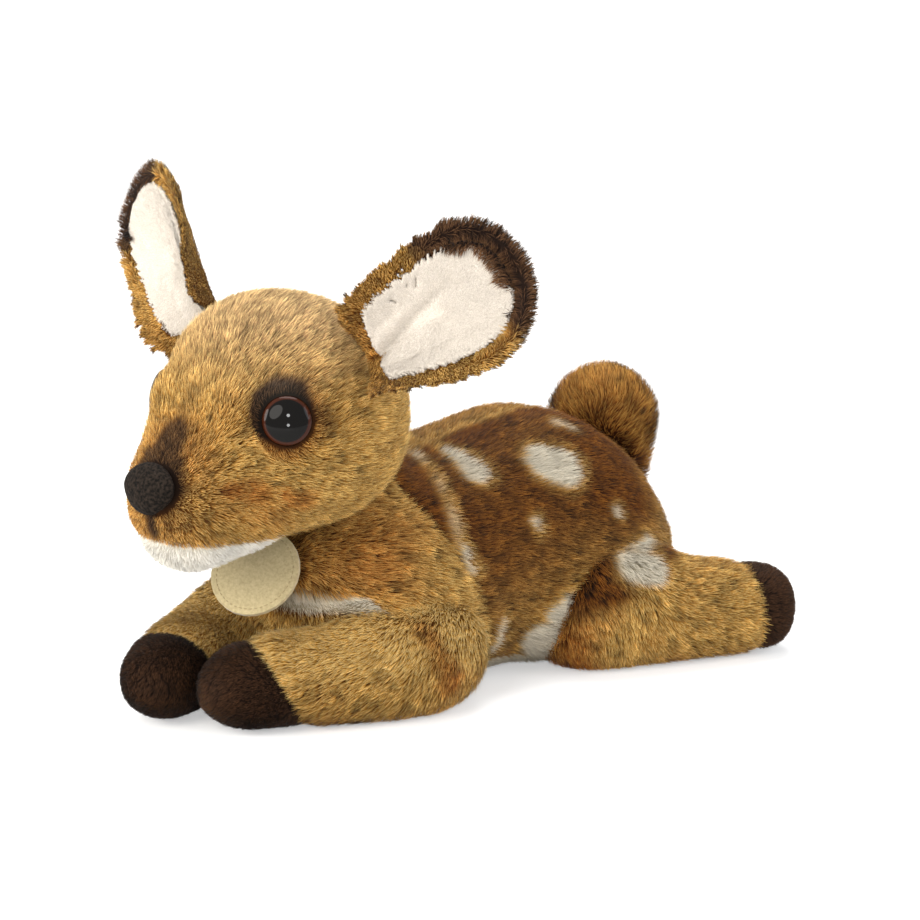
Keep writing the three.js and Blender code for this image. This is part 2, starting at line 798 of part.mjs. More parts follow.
const tailSeat = seatOn(bodyForm, bodyPlacement, tailSeatShare, topAngle);
const tailAim = new THREE.Vector3(
  0,
  -Math.sin(degToRad(tailLean)),
  Math.cos(degToRad(tailLean)),
);
const tailRoot = tailSeat.point.clone().addScaledVector(tailAim, -tailSink);
const tailPlacement = placementOf(tailRoot, tailAim, rearwards);
const tailJoint = { point: tailSeat.point, axis: rearwards, min: -tailWag, max: tailWag };
const tailSpace = sweptSpace(bodyClearance, tailJoint);
const tailShell = softSolid(tailForm, tailPlacement)
  .subtract(innerSolid(tailForm, tailPlacement));
const tailFill = fillSolid(tailForm, tailPlacement);
addPiece('tail_cover', tailShell.subtract(tailSpace), finishes.tailFur, tailJoint.point);
addPiece('tail_stuffing', tailFill.subtract(tailSpace), finishes.stuffing, tailJoint.point);

// Legs

/** A leg's cover, hoof and stuffing, cut to lie against the body through its joint's range. */
function addLeg(name, leg) {
  const { form, placement, joint, seamShare, seamLean } = leg;
  const space = sweptSpace(bodyClearance, joint).add(floor);
  const outer = softSolid(form, placement);
  const shell = outer.subtract(innerSolid(form, placement));
  const fill = fillSolid(form, placement);
  const curves = formCurves(form);
  const seamPoint = curves.middle.getPoint(seamShare).applyMatrix4(placement);
  const normal = curves.middle.getTangent(seamShare).transformDirection(placement).setZ(0).normalize();
  normal.setZ(-Math.tan(degToRad(seamLean)));
  normal.normalize();
  const hoofSide = halfSpace(seamPoint, normal);
  const legSide = halfSpace(
    seamPoint.clone().addScaledVector(normal, -seamGap),
    normal.clone().negate(),
  );
  const [end, side] = name;
  const floorFill = floor.translate([0, 0, coverThickness + stuffingGap]);
  addPiece(`${end}_leg_cover_${side}`, shell.subtract(space).intersect(legSide), finishes.legFur,
    joint.point);
  addPiece(`${end}_hoof_${side}`, shell.subtract(space).intersect(hoofSide), finishes.hoofFur,
    joint.point);
  addPiece(`${end}_leg_stuffing_${side}`, fill.subtract(space).subtract(floorFill),
    finishes.stuffing, joint.point);
}

/** Where a leg's middle meets the body's skin, at the height of the leg's pivot. */
function legPivot(form, placement, share) {
  return formCurves(form).middle.getPoint(share).applyMatrix4(placement);
}

for (const [name, pose] of Object.entries(frontLegPoses)) {
  const root = new THREE.Vector3(
    pose.side * frontLegRootOut,
    frontLegRootBack - chestReach - pose.ahead,
    0,
  );
  const turn = degToRad(pose.turn);
  const aim = new THREE.Vector3(-pose.side * Math.sin(turn), -Math.cos(turn), 0);
  const mirror = new THREE.Matrix4().makeScale(-pose.side, 1, 1);
  const mirroredAim = aim.clone().applyMatrix4(mirror);
  const mirroredRoot = root.clone().applyMatrix4(mirror);
  const placement = mirror.multiply(placementOf(mirroredRoot, mirroredAim, upright));
  const point = legPivot(frontLegForm, placement, frontPivotShare);
  const axis = new THREE.Vector3(0, 0, pose.side);
  addLeg(['front', name], {
    form: frontLegForm,
    placement,
    joint: { point, axis, min: 0, max: frontSplay },
    seamShare: 1 - frontHoofLength / frontLegLength,
    seamLean: frontSeamLean,
  });
}

for (const [name, side] of Object.entries(sides)) {
  const root = new THREE.Vector3(rearLegRootOut, rearLegRootBack - chestReach, 0);
  const turn = degToRad(rearLegTurn);
  const aim = new THREE.Vector3(Math.sin(turn), Math.cos(turn), 0);
  const mirror = new THREE.Matrix4().makeScale(side, 1, 1);
  const placement = mirror.multiply(placementOf(root, aim, upright));
  const point = legPivot(rearLegForm, placement, rearPivotShare);
  const axis = new THREE.Vector3(0, 0, -side);
  addLeg(['rear', name], {
    form: rearLegForm,
    placement,
    joint: { point, axis, min: -rearSplayIn, max: rearSplayOut },
    seamShare: 1 - rearHoofLength / rearLegLength,
    seamLean: rearSeamLean,
  });
}

// Scene graph: each piece is a mesh about the pivot of the part that it moves with

const whole = new THREE.Box3();
for (const { solid } of pieces) {
  const { min, max } = solid.boundingBox();
  whole.expandByPoint(new THREE.Vector3(...min));
  whole.expandByPoint(new THREE.Vector3(...max));
}
const centring = whole.getCenter(new THREE.Vector3()).negate().setZ(-whole.min.z);

const fawn = new THREE.Group();
for (const { name, solid, finish, pivot } of pieces) {
  const { vertProperties, triVerts } = solid.getMesh();
  const geometry = new THREE.BufferGeometry();
  geometry.setAttribute('position', new THREE.BufferAttribute(vertProperties, 3));
  geometry.setIndex(new THREE.BufferAttribute(triVerts, 1));
  geometry.translate(-pivot.x, -pivot.y, -pivot.z);
  geometry.computeVertexNormals();
  const mesh = new THREE.Mesh(geometry, new THREE.MeshStandardMaterial(finish));
  mesh.name = name;
  mesh.position.copy(pivot).add(centring);
  fawn.add(mesh);
}

export default fawn;
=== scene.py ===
import json
import logging
import math
from dataclasses import dataclass, field, replace
from enum import IntEnum, StrEnum
from typing import Callable, Iterable

import bmesh
import bpy
import numpy as np
from bpy.types import Material, Mesh, Node, NodeTree, Object
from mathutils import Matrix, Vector
from mathutils.bvhtree import BVHTree
from mathutils.kdtree import KDTree


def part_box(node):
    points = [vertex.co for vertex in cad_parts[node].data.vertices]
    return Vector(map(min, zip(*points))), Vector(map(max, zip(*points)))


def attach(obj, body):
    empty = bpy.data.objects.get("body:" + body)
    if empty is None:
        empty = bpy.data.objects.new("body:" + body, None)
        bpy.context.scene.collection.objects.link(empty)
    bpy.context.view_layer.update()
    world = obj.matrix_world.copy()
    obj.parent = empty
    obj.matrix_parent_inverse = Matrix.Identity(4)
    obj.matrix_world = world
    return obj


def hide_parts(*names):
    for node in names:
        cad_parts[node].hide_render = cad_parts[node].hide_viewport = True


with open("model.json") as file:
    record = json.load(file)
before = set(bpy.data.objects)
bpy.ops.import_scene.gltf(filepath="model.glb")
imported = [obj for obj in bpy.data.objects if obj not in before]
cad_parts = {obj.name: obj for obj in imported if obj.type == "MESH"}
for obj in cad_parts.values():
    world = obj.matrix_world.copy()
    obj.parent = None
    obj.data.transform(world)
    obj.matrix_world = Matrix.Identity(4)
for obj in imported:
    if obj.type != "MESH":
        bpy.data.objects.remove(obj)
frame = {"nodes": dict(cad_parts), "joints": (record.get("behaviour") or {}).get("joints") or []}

# A lying plush fawn. Blender works in metres; every size below is in millimetres and MM turns it.

MM = 0.001
SEED = 20
MASKS = ("dark", "rust", "pale")
BODY_COVERS = ("front_cover", "saddle_cover", "belly_panel")
# no cloth or fibre goes below these heights, so that the fawn lies on the floor
CLOTH_LOW = 0.9
FIBRE_LOW = 0.15
log = logging.getLogger("fawn")

Array = np.ndarray
Point = tuple[float, float, float]
Span = tuple[float, float]
Masks = dict[str, Array]


class Side(StrEnum):
    """The fawn's own left and right."""

    LEFT = "left"
    RIGHT = "right"

    @property
    def sign(self) -> int:
        """The side's direction along x."""
        return 1 if self is Side.LEFT else -1


class End(StrEnum):
    """The front and the rear pair of legs."""

    FRONT = "front"
    REAR = "rear"


class BodyCloth(IntEnum):
    """The torso's cloth panels, in the order of its covers."""

    FRONT = 0
    SADDLE = 1
    BELLY = 2


class HeadCloth(IntEnum):
    """The head's cloth panels, in the order of its covers."""

    COVER = 0
    CHIN = 1


class LimbCloth(IntEnum):
    """The cloth panels of a leg, an ear's leaf or the tail, where only a leg has a hoof."""

    COVER = 0
    HOOF = 1


def linear(code: str) -> tuple[float, float, float, float]:
    """Turns an sRGB hex colour into linear red, green, blue and alpha."""
    values = [int(code[start:start + 2], 16) / 255 for start in (1, 3, 5)]
    return (*(v / 12.92 if v <= 0.04045 else ((v + 0.055) / 1.055) ** 2.4 for v in values), 1.0)


def add_node(
    tree: NodeTree,
    kind: str,
    settings: dict[str, object] | None = None,
    inputs: dict[str, object] | None = None,
    ramp: Iterable[tuple[float, str]] = (),
) -> Node:
    """Adds a node with its settings and links.

    Args:
        tree: The node tree that gets the node.
        kind: The node's type name.
        settings: Properties of the node.
        inputs: Values by socket name or identifier: a constant, or (node, output name) to link.
        ramp: Positions and hex colours, for a colour ramp.

    Returns:
        The new node.
    """
    node = tree.nodes.new(kind)
    for name, value in (settings or {}).items():
        setattr(node, name, value)
    for name, value in (inputs or {}).items():
        socket = next(s for s in node.inputs if name in (s.identifier, s.name))
        if isinstance(value, tuple) and value and isinstance(value[0], Node):
            source, output = value
            made = next(s for s in source.outputs if output in (s.identifier, s.name))
            tree.links.new(made, socket)
        else:
            socket.default_value = value
    for index, (place, code) in enumerate(ramp):
        stops = node.color_ramp.elements
        stop = stops[index] if index < len(stops) else stops.new(place)
        stop.position, stop.color = place, linear(code)
    return node


def new_material(name: str) -> tuple[Material, NodeTree]:
    """Makes a material with an empty node tree.

    Args:
        name: The material's name.

    Returns:
        The material and its node tree.
    """
    material = bpy.data.materials.new(name)
    material.use_nodes = True
    material.node_tree.nodes.clear()
    return material, material.node_tree


# Finishes


@dataclass(frozen=True)
class Tone:
    """The colours of one fibre, from its root in the backing to its tip: its dye, with painted
    shade at the root and a painted sheen at the tip.
    """

    root: str
    middle: str
    tip: str

    def stops(self) -> tuple[tuple[float, str], ...]:
        """The colours with their places along the fibre, from 0 to 1."""
        return (0.05, self.root), (0.5, self.middle), (0.95, self.tip)


# each tone's dark root also holds painted shade from deep in the pile, and its pale tip a painted
# sheen
GOLDEN = Tone("#502f0b", "#a4722e", "#ecc778")
# painted light: a pale golden, painted on the tops of the front legs where the light from above
# falls
PAINTED_TOP_LIGHT = Tone("#744b1b", "#ca9440", "#f6dc96")
SADDLE = Tone("#180a01", "#462203", "#8f581a")
RUST = Tone("#3a1805", "#84420f", "#c8893d")
DUSK = Tone("#100804", "#32200f", "#65462a")
UMBER = Tone("#190d06", "#422a18", "#7a583a")
IVORY = Tone("#a99b7f", "#d5c9b1", "#e8dfcb")
WHITE = Tone("#d2c9b8", "#e9e3d6", "#f3efe5")
CREAM = Tone("#cfc5b8", "#e0d6ca", "#ebe3d9")
# painted shade for the lining's fold
SHADE = Tone("#8d8377", "#a2988c", "#b5aca0")
TAWNY = Tone("#3b1c07", "#7e4b18", "#c69448")
HOOF = Tone("#140903", "#321d0e", "#4a301a")


@dataclass(frozen=True)
class Plush:
    """Brushed cut-pile plush: polyester fibres knitted into a backing and combed flat.

    The eye sees separate fibres that part into tufts, dark at the root and pale at the tip: partly
    their dye, and partly painted shade deep in the pile and a painted sheen on the tips.
    """

    name: str
    base: Tone
    dark: Tone = SADDLE
    rust: Tone = RUST
    pale: Tone = IVORY
    roughness: float = 0.68
    sheen: float = 0.03
    # tufts of dyed fibre differ over about 9 mm
    patch_size: float = 9.0
    patch_change: float = 0.15
    strand_change: float = 0.46
    # the backing's loops stand about 0.8 mm apart and 0.3 mm high
    loop_size: float = 0.8
    loop_height: float = 0.3
    backing_roughness: float = 0.9

    def material(self, backing: bool = False) -> Material:
        """Builds the material.

        Args:
            backing: True for the knitted cloth under the pile.

        Returns:
            The material.
        """
        material, tree = new_material(self.name + ("_backing" if backing else ""))
        along = add_node(tree, "ShaderNodeAttribute", {"attribute_name": "along"})
        dyes = [
            add_node(tree, "ShaderNodeValToRGB", None, {"Fac": (along, "Fac")}, tone.stops())
            for tone in (self.base, self.dark, self.rust, self.pale)
        ]
        colour = (dyes[0], "Color")
        for mask, dye in zip(MASKS, dyes[1:]):
            share = add_node(tree, "ShaderNodeAttribute", {"attribute_name": mask})
            mixed = add_node(
                tree, "ShaderNodeMix", {"data_type": "RGBA"},
                {"Factor_Float": (share, "Fac"), "A_Color": colour, "B_Color": (dye, "Color")},
            )
            colour = (mixed, "Result_Color")
        place = add_node(tree, "ShaderNodeTexCoord")
        patches = add_node(
            tree, "ShaderNodeTexNoise", None,
            {"Vector": (place, "Object"), "Scale": 1 / (self.patch_size * MM), "Detail": 3.0},
        )
        tint = add_node(tree, "ShaderNodeAttribute", {"attribute_name": "tint"})
        strand = add_node(
            tree, "ShaderNodeMath", {"operation": "MULTIPLY_ADD"},
            {"Value": (tint, "Fac"), "Value_001": self.strand_change, "Value_002": 1.0},
        )
        bright = add_node(
            tree, "ShaderNodeMapRange", None,
            {"Value": (patches, "Fac"), "From Min": 0.3, "From Max": 0.7,
             "To Min": 1 - self.patch_change, "To Max": 1 + self.patch_change},
        )
        value = add_node(
            tree, "ShaderNodeMath", {"operation": "MULTIPLY"},
            {"Value": (strand, "Value"), "Value_001": (bright, "Result")},
        )
        varied = add_node(
            tree, "ShaderNodeHueSaturation", None, {"Color": colour, "Value": (value, "Value")},
        )
        shader = add_node(
            tree, "ShaderNodeBsdfPrincipled", None,
            {
                "Base Color": (varied, "Color"),
                "Roughness": self.backing_roughness if backing else self.roughness,
                "IOR": 1.54,
                "Specular IOR Level": 0.12,
                "Sheen Weight": self.sheen,
                "Sheen Roughness": 0.45,
                "Normal": self._loops(tree, place) if backing else self._nap(tree),
            },
        )
        add_node(tree, "ShaderNodeOutputMaterial", None, {"Surface": (shader, "BSDF")})
        return material

    def _loops(self, tree: NodeTree, place: Node) -> tuple[Node, str]:
        """Adds the relief of the backing's loops.

        Args:
            tree: The material's node tree.
            place: The node that gives the place on the cloth.

        Returns:
            The node and output that give the normal.
        """
        loops = add_node(
            tree, "ShaderNodeTexVoronoi", None,
            {"Vector": (place, "Object"), "Scale": 1 / (self.loop_size * MM)},
        )
        bump = add_node(
            tree, "ShaderNodeBump", None,
            {"Strength": 0.4, "Distance": self.loop_height * MM, "Height": (loops, "Distance")},
        )
        return bump, "Normal"

    @staticmethod
    def _nap(tree: NodeTree) -> tuple[Node, str]:
        """Adds the normal that lights both faces of a fibre as the nap that it lies in.

        Args:
            tree: The material's node tree.

        Returns:
            The node and output that give the normal.
        """
        facing = add_node(tree, "ShaderNodeNewGeometry")
        sign = add_node(
            tree, "ShaderNodeMath", {"operation": "MULTIPLY_ADD"},
            {"Value": (facing, "Backfacing"), "Value_001": -2.0, "Value_002": 1.0},
        )
        outward = add_node(
            tree, "ShaderNodeVectorMath", {"operation": "SCALE"},
            {"Vector": (facing, "Normal"), "Scale": (sign, "Value")},
        )
        return outward, "Vector"


@dataclass(frozen=True)
class EyeGloss:
    """Clear-coated moulded acrylic: a dark pupil and a red-brown ring under a polished dome."""

    name: str = "acrylic_polished"
    pupil: str = "#0b0907"
    ring: str = "#3c1b0d"
    rim: str = "#0e0705"
    # where the pupil ends and the ring starts and ends, as shares of the rim's radius
    edges: Point = (0.82, 0.87, 0.94)

    def material(self, middle: Vector, radius: float, axis: Vector) -> Material:
        """Builds the eye's material.

        Args:
            middle: The middle of the eye's rim.
            radius: The rim's radius.
            axis: The way that the eye looks.

        Returns:
            The material.
        """
        material, tree = new_material(self.name)
        place = add_node(tree, "ShaderNodeTexCoord")
        away = add_node(
            tree, "ShaderNodeVectorMath", {"operation": "SUBTRACT"},
            {"Vector": (place, "Object"), "Vector_001": tuple(middle)},
        )
        # the distance from the eye's axis: the length of the cross product with it
        cross = add_node(
            tree, "ShaderNodeVectorMath", {"operation": "CROSS_PRODUCT"},
            {"Vector": (away, "Vector"), "Vector_001": tuple(axis)},
        )
        reach = add_node(
            tree, "ShaderNodeVectorMath", {"operation": "LENGTH"}, {"Vector": (cross, "Vector")},
        )
        share = add_node(
            tree, "ShaderNodeMapRange", None,
            {"Value": (reach, "Value"), "From Min": 0.0, "From Max": radius},
        )
        stops = zip(
            (0.0, *self.edges, 1.0), (self.pupil, self.pupil, self.ring, self.ring, self.rim),
        )
        colour = add_node(tree, "ShaderNodeValToRGB", None, {"Fac": (share, "Result")}, stops)
        shader = add_node(
            tree, "ShaderNodeBsdfPrincipled", None,
            {
                "Base Color": (colour, "Color"), "Roughness": 0.5, "IOR": 1.49,
                "Specular IOR Level": 0.0,
                "Coat Weight": 0.5, "Coat Roughness": 0.02, "Coat IOR": 1.36,
            },
        )
        add_node(tree, "ShaderNodeOutputMaterial", None, {"Surface": (shader, "BSDF")})
        return material


@dataclass(frozen=True)
class Grained:
    """A matt finish with a fine grain of two colours, as flock, suede, yarn and nylon have."""

    name: str
    low: str
    high: str
    # how far apart the grain's clumps are, in millimetres, and how it is drawn
    grain: float
    roughness: float
    ior: float
    detail: float = 2.0
    unevenness: float = 0.5
    stops: Span = (0.3, 0.7)
    specular: float = 0.5
    sheen: float = 0.0
    sheen_roughness: float = 0.5
    # the grain's strength and height in relief; none for a height of nothing
    relief: Span = (0.0, 0.0)

    def material(self) -> Material:
        """Builds the material.

        Returns:
            The material.
        """
        material, tree = new_material(self.name)
        place = add_node(tree, "ShaderNodeTexCoord")
        grain = add_node(
            tree, "ShaderNodeTexNoise", None,
            {"Vector": (place, "Object"), "Scale": 1 / (self.grain * MM), "Detail": self.detail,
             "Roughness": self.unevenness},
        )
        colour = add_node(
            tree, "ShaderNodeValToRGB", None, {"Fac": (grain, "Fac")},
            zip(self.stops, (self.low, self.high)),
        )
        inputs = {
            "Base Color": (colour, "Color"), "Roughness": self.roughness, "IOR": self.ior,
            "Specular IOR Level": self.specular,
            "Sheen Weight": self.sheen, "Sheen Roughness": self.sheen_roughness,
        }
        strength, height = self.relief
        if height:
            bump = add_node(
                tree, "ShaderNodeBump", None,
                {"Strength": strength, "Distance": height * MM, "Height": (grain, "Fac")},
            )
            inputs["Normal"] = (bump, "Normal")
        shader = add_node(tree, "ShaderNodeBsdfPrincipled", None, inputs)
        add_node(tree, "ShaderNodeOutputMaterial", None, {"Surface": (shader, "BSDF")})
        return material


# Moulded ABS with black nylon flock: a matt face with hardly any gloss, whose flock lies in
# swirls of about 1.1 mm.
FLOCK = Grained(
    "abs_flocked", "#0d0b09", "#2f2721", grain=1.1, roughness=0.8, ior=1.53,
    stops=(0.35, 0.7), specular=0.06, relief=(1.0, 0.5),
)
# Bonded microfibre suede, die cut: a brushed beige face whose nap lies in clumps of about 1.1 mm.
SUEDE = Grained(
    "microsuede_die_cut", "#a3926a", "#c3b389", grain=1.1, roughness=0.85, ior=1.5,
    detail=6.0, unevenness=0.7, stops=(0.3, 0.65), sheen=0.3, relief=(0.5, 0.15),
)
# Twisted polyester thread: a soft round yarn with a faint lustre, whose twist is about 0.5 mm.
THREAD = Grained(
    "polyester_thread_tag", "#8d7a52", "#b3a172", grain=0.5, roughness=0.6, ior=1.54,
    detail=4.0, sheen=0.3, sheen_roughness=0.4,
)
# Twisted cotton cord: the same soft round yarn in an undyed white.
CORD = replace(THREAD, name="cotton_cord_tag", low="#bdb49c", high="#e6dfcd")
# Injection-moulded nylon: a satin white with faint flow marks of about 1.5 mm.
NYLON = Grained(
    "nylon_moulded_washer", "#d8d6cf", "#e4e2dc", grain=1.5, roughness=0.45, ior=1.53,
)


# Geometry helpers

HASH_STEPS = (73856093, 19349663, 83492791)
HASH_MIXES = (1274126177, 2246822519)
HASH_TOP = 0xFFFFFFFF


def soft_noise(points: Array, size: float, seed: int = 0) -> Array:
    """Smooth noise over space.

    Args:
        points: Rows of x, y, z in millimetres.
        size: How far apart its lumps are, in millimetres.
        seed: Which noise it is.

    Returns:
        A value from -1 to 1 for each point.
    """
    scaled = points / size + 37.0 * seed
    cell = np.floor(scaled).astype(np.int64)
    part = scaled - cell
    part = part * part * (3 - 2 * part)
    total = np.zeros(len(points))
    for corner in range(8):
        step = np.array([corner & 1, corner >> 1 & 1, corner >> 2])
        spot = (cell + step) * np.array(HASH_STEPS)
        mixed = spot[:, 0] ^ spot[:, 1] ^ spot[:, 2]
        mixed = (mixed ^ (mixed >> 13)) * HASH_MIXES[0] & HASH_TOP
        mixed = (mixed ^ (mixed >> 16)) * HASH_MIXES[1] & HASH_TOP
        weight = np.prod(np.where(step == 1, part, 1 - part), axis=1)
        total += weight * (mixed / HASH_TOP)
    return 2 * total - 1


def smoothstep(low: float, high: float, values: Array) -> Array:
    """Rises smoothly from 0 at low to 1 at high, or falls where high is below low."""
    share = np.clip((values - low) / (high - low), 0, 1)
    return share * share * (3 - 2 * share)


def unit(vectors: Array) -> Array:
    """Brings each row to a length of one."""
    return vectors / np.maximum(np.linalg.norm(vectors, axis=-1, keepdims=True), 1e-9)


def along_skin(ways: Array, normals: Array) -> Array:
    """Turns each way into the skin's plane, at a length of one."""
    return unit(ways - normals * np.sum(ways * normals, axis=1, keepdims=True))


def swung(ways: Array, towards: Array, angle: Array) -> Array:
    """Swings each way towards another that stands square to it, by an angle in radians."""
    return ways * np.cos(angle)[:, None] + towards * np.sin(angle)[:, None]


def from_segment(points: Array, start: Array, end: Array) -> tuple[Array, Array]:
    """Measures points from a straight segment.

    Args:
        points: Rows of x, y, z.
        start: One end.
        end: The other end.

    Returns:
        Each point's distance, and its share of the way from start to end.
    """
    run = end - start
    share = np.clip((points - start) @ run / max(run @ run, 1e-12), 0, 1)
    return np.linalg.norm(points - (start + share[:, None] * run), axis=1), share


def from_path(points: Array, path: Iterable[Point]) -> Array:
    """Each point's distance from a line of straight segments."""
    knots = [np.array(p, float) for p in path]
    return np.min([from_segment(points, a, b)[0] for a, b in zip(knots, knots[1:])], axis=0)


def in_scene(name: str, data: bpy.types.ID) -> Object:
    """Makes an object that holds the data and puts it in the scene.

    Args:
        name: The object's name.
        data: Its mesh, light or camera.

    Returns:
        The object.
    """
    made = bpy.data.objects.new(name, data)
    bpy.context.scene.collection.objects.link(made)
    return made


def shade_smooth(mesh: Mesh) -> None:
    """Shades every face of the mesh smooth."""
    mesh.polygons.foreach_set("use_smooth", [True] * len(mesh.polygons))


def give_material(mesh: Mesh, material: Material) -> None:
    """Makes this the mesh's only material."""
    mesh.materials.clear()
    mesh.materials.append(material)


def mesh_object(name: str, points: Array, faces: list[list[int]], material: Material) -> Object:
    """Makes a smooth object with one material.

    Args:
        name: The object's name.
        points: Rows of x, y, z in metres.
        faces: The indices of each face's points.
        material: Its material.

    Returns:
        The object.
    """
    mesh = bpy.data.meshes.new(name)
    mesh.from_pydata([tuple(p) for p in points], [], faces)
    mesh.update()
    shade_smooth(mesh)
    give_material(mesh, material)
    return in_scene(name, mesh)


def tube_faces(start: int, rings: int, spokes: int) -> list[list[int]]:
    """The faces of a tube.

    Args:
        start: The index of the first ring's first point.
        rings: How many rings of points it has.
        spokes: How many points each ring has.

    Returns:
        The indices of each face's points.
    """
    faces = []
    for ring in range(rings - 1):
        low = start + ring * spokes
        for spoke in range(spokes):
            one, two = low + spoke, low + (spoke + 1) % spokes
            faces.append([one, two, two + spokes, one + spokes])
    return faces


def bake_modifiers(target: Object) -> None:
    """Applies the object's modifiers and clears them.

    Args:
        target: The object, which gets a new mesh.
    """
    graph = bpy.context.evaluated_depsgraph_get()
    mesh = bpy.data.meshes.new_from_object(target.evaluated_get(graph), depsgraph=graph)
    old = target.data
    target.modifiers.clear()
    target.data = mesh
    bpy.data.meshes.remove(old)


def wrap_up(target: Object, voxel: float, rounds: int) -> None:
    """Wraps the object in one closed skin and smooths it.

    Args:
        target: The object, which gets a new mesh.
        voxel: The skin's face size in millimetres.
        rounds: How often it is smoothed.
    """
    wrap = target.modifiers.new("Wrap", "REMESH")
    wrap.mode, wrap.voxel_size = "VOXEL", voxel * MM
    bake_modifiers(target)
    relax(target.data, rounds)


def fetched(
    items: bpy.types.bpy_prop_collection, name: str, width: int, kind: type = np.float32,
) -> Array:
    """Reads one property of every item in a mesh's list.

    Args:
        items: The list, such as the mesh's points or edges.
        name: The property's name.
        width: How many numbers each item has.
        kind: The numbers' type.

    Returns:
        A row for each item.
    """
    flat = np.empty(len(items) * width, kind)
    items.foreach_get(name, flat)
    return flat.reshape(-1, width)


def coordinates(mesh: Mesh) -> Array:
    """The mesh's points in millimetres, as rows."""
    return fetched(mesh.vertices, "co", 3).astype(float) / MM


def set_coordinates(mesh: Mesh, points: Array) -> None:
    """Moves the mesh's points, given in millimetres."""
    mesh.vertices.foreach_set("co", (points * MM).astype(np.float32).ravel())
    mesh.update()


def point_normals(mesh: Mesh) -> Array:
    """The mesh's smooth normal at each point."""
    return fetched(mesh.vertex_normals, "vector", 3).astype(float)


def edge_ends(mesh: Mesh) -> Array:
    """The first and the second point of every edge, as two rows of indices."""
    return fetched(mesh.edges, "vertices", 2, np.int32).T


def relax(mesh: Mesh, rounds: int, pull: float = 0.5, push: float = -0.52) -> None:
    """Smooths the mesh without shrinking it.

    Args:
        mesh: The mesh to smooth.
        rounds: How many times it is drawn in and let out again.
        pull: The share of the way that a point moves to its neighbours' middle.
        push: The share that it then moves back.
    """
    one, two = edge_ends(mesh)
    points = coordinates(mesh)
    count = np.bincount(np.r_[one, two], minlength=len(points))[:, None]
    for _ in range(rounds):
        for share in (pull, push):
            total = np.zeros_like(points)
            np.add.at(total, one, points[two])
            np.add.at(total, two, points[one])
            points += share * (total / np.maximum(count, 1) - points)
    set_coordinates(mesh, points)


def store(mesh: Mesh, name: str, values: Array) -> None:
    """Keeps one number for each point of the mesh."""
    layer = mesh.attributes.get(name) or mesh.attributes.new(name, "FLOAT", "POINT")
    layer.data.foreach_set("value", values.astype(np.float32))


def kept(mesh: Mesh, name: str) -> Array:
    """Reads back the numbers that store kept."""
    return fetched(mesh.attributes[name].data, "value", 1)[:, 0].astype(float)


def search_tree(nodes: Iterable[str]) -> BVHTree:
    """Makes a tree of CAD nodes, in which the nearest or first triangle can be looked up.

    Args:
        nodes: The nodes' names.

    Returns:
        The tree over their triangles.
    """
    points, faces = [], []
    for name in nodes:
        mesh = frame["nodes"][name].data
        start = len(points)
        points.extend(v.co.copy() for v in mesh.vertices)
        faces.extend([start + i for i in p.vertices] for p in mesh.polygons)
    return BVHTree.FromPolygons(points, faces)


def nearest_index(points: Array, marks: Array) -> tuple[Array, Array]:
    """Finds the nearest mark to each point.

    Args:
        points: Rows of x, y, z.
        marks: Rows of x, y, z.

    Returns:
        Each point's nearest mark and how far away it is.
    """
    tree = KDTree(len(marks))
    for index, mark in enumerate(marks):
        tree.insert(mark, index)
    tree.balance()
    found = [tree.find(p) for p in points]
    return np.array([f[1] for f in found]), np.array([f[2] for f in found])


def node_middle(node: str) -> Array:
    """The middle of a CAD node's box, in millimetres."""
    low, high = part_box(node)
    return np.array((low + high) / 2) / MM


MIDDLE = float(node_middle("nose")[0])


def joint_row(name: str, key: str) -> Array:
    """The three numbers that the frame gives for one property of a joint."""
    joint = next(j for j in frame["joints"] if j["name"] == name)
    return np.array([float(v) for v in joint[key]])


def joint_point(name: str) -> Array:
    """A joint's point, in millimetres."""
    return joint_row(name, "pos_m") / MM


def mirrored(points: Array) -> Array:
    """Brings every point to the left side.

    Args:
        points: Rows of x, y, z.

    Returns:
        The points with x from the middle plane.
    """
    turned = points.copy()
    turned[:, 0] = np.abs(turned[:, 0] - MIDDLE)
    return turned


# Markings: where the dyed cloth and the airbrushed patches change colour, and where light and shade
# are painted in. Their points and distances are in millimetres, with x from the middle plane. In
# each smoothstep the first number is where the colour starts and the second is where it is full.

# the soft rim round a pale spot, where the dark dye thins out
HALO_WIDTH = 2.4
HALO_FADE = 0.7
HALO_SHARE = 0.75


@dataclass(frozen=True)
class Patch:
    """An airbrushed patch, drawn from one point on the cloth to another."""

    start: Point
    end: Point
    start_radius: float
    end_radius: float
    strength: float = 1.0
    # the width of its soft edge, as a share of the radius
    fade: float = 0.45
    # how far its edge wanders, over lumps of this size
    lumps: float = 1.2
    lump_size: float = 4.0

    def share(self, points: Array) -> Array:
        """How far each point lies in the patch.

        Args:
            points: Rows of x, y, z.

        Returns:
            A share from 0 to the patch's strength for each point.
        """
        start, end = np.array(self.start), np.array(self.end)
        away, share = from_segment(points, start, end)
        radius = self.start_radius + (self.end_radius - self.start_radius) * share
        away = away + self.lumps * soft_noise(points, self.lump_size, 3)
        edge = (away - radius) / (radius * self.fade)
        return self.strength * smoothstep(0.5, -0.5, edge)

    def halo(self) -> "Patch":
        """The patch with its soft rim, as a wider one."""
        start, end = self.start_radius + HALO_WIDTH, self.end_radius + HALO_WIDTH
        return replace(self, start_radius=start, end_radius=end, fade=HALO_FADE)


def cover(patches: Iterable[Patch], points: Array) -> Array:
    """How far each point lies in any of the patches."""
    return np.max([patch.share(points) for patch in patches], axis=0)


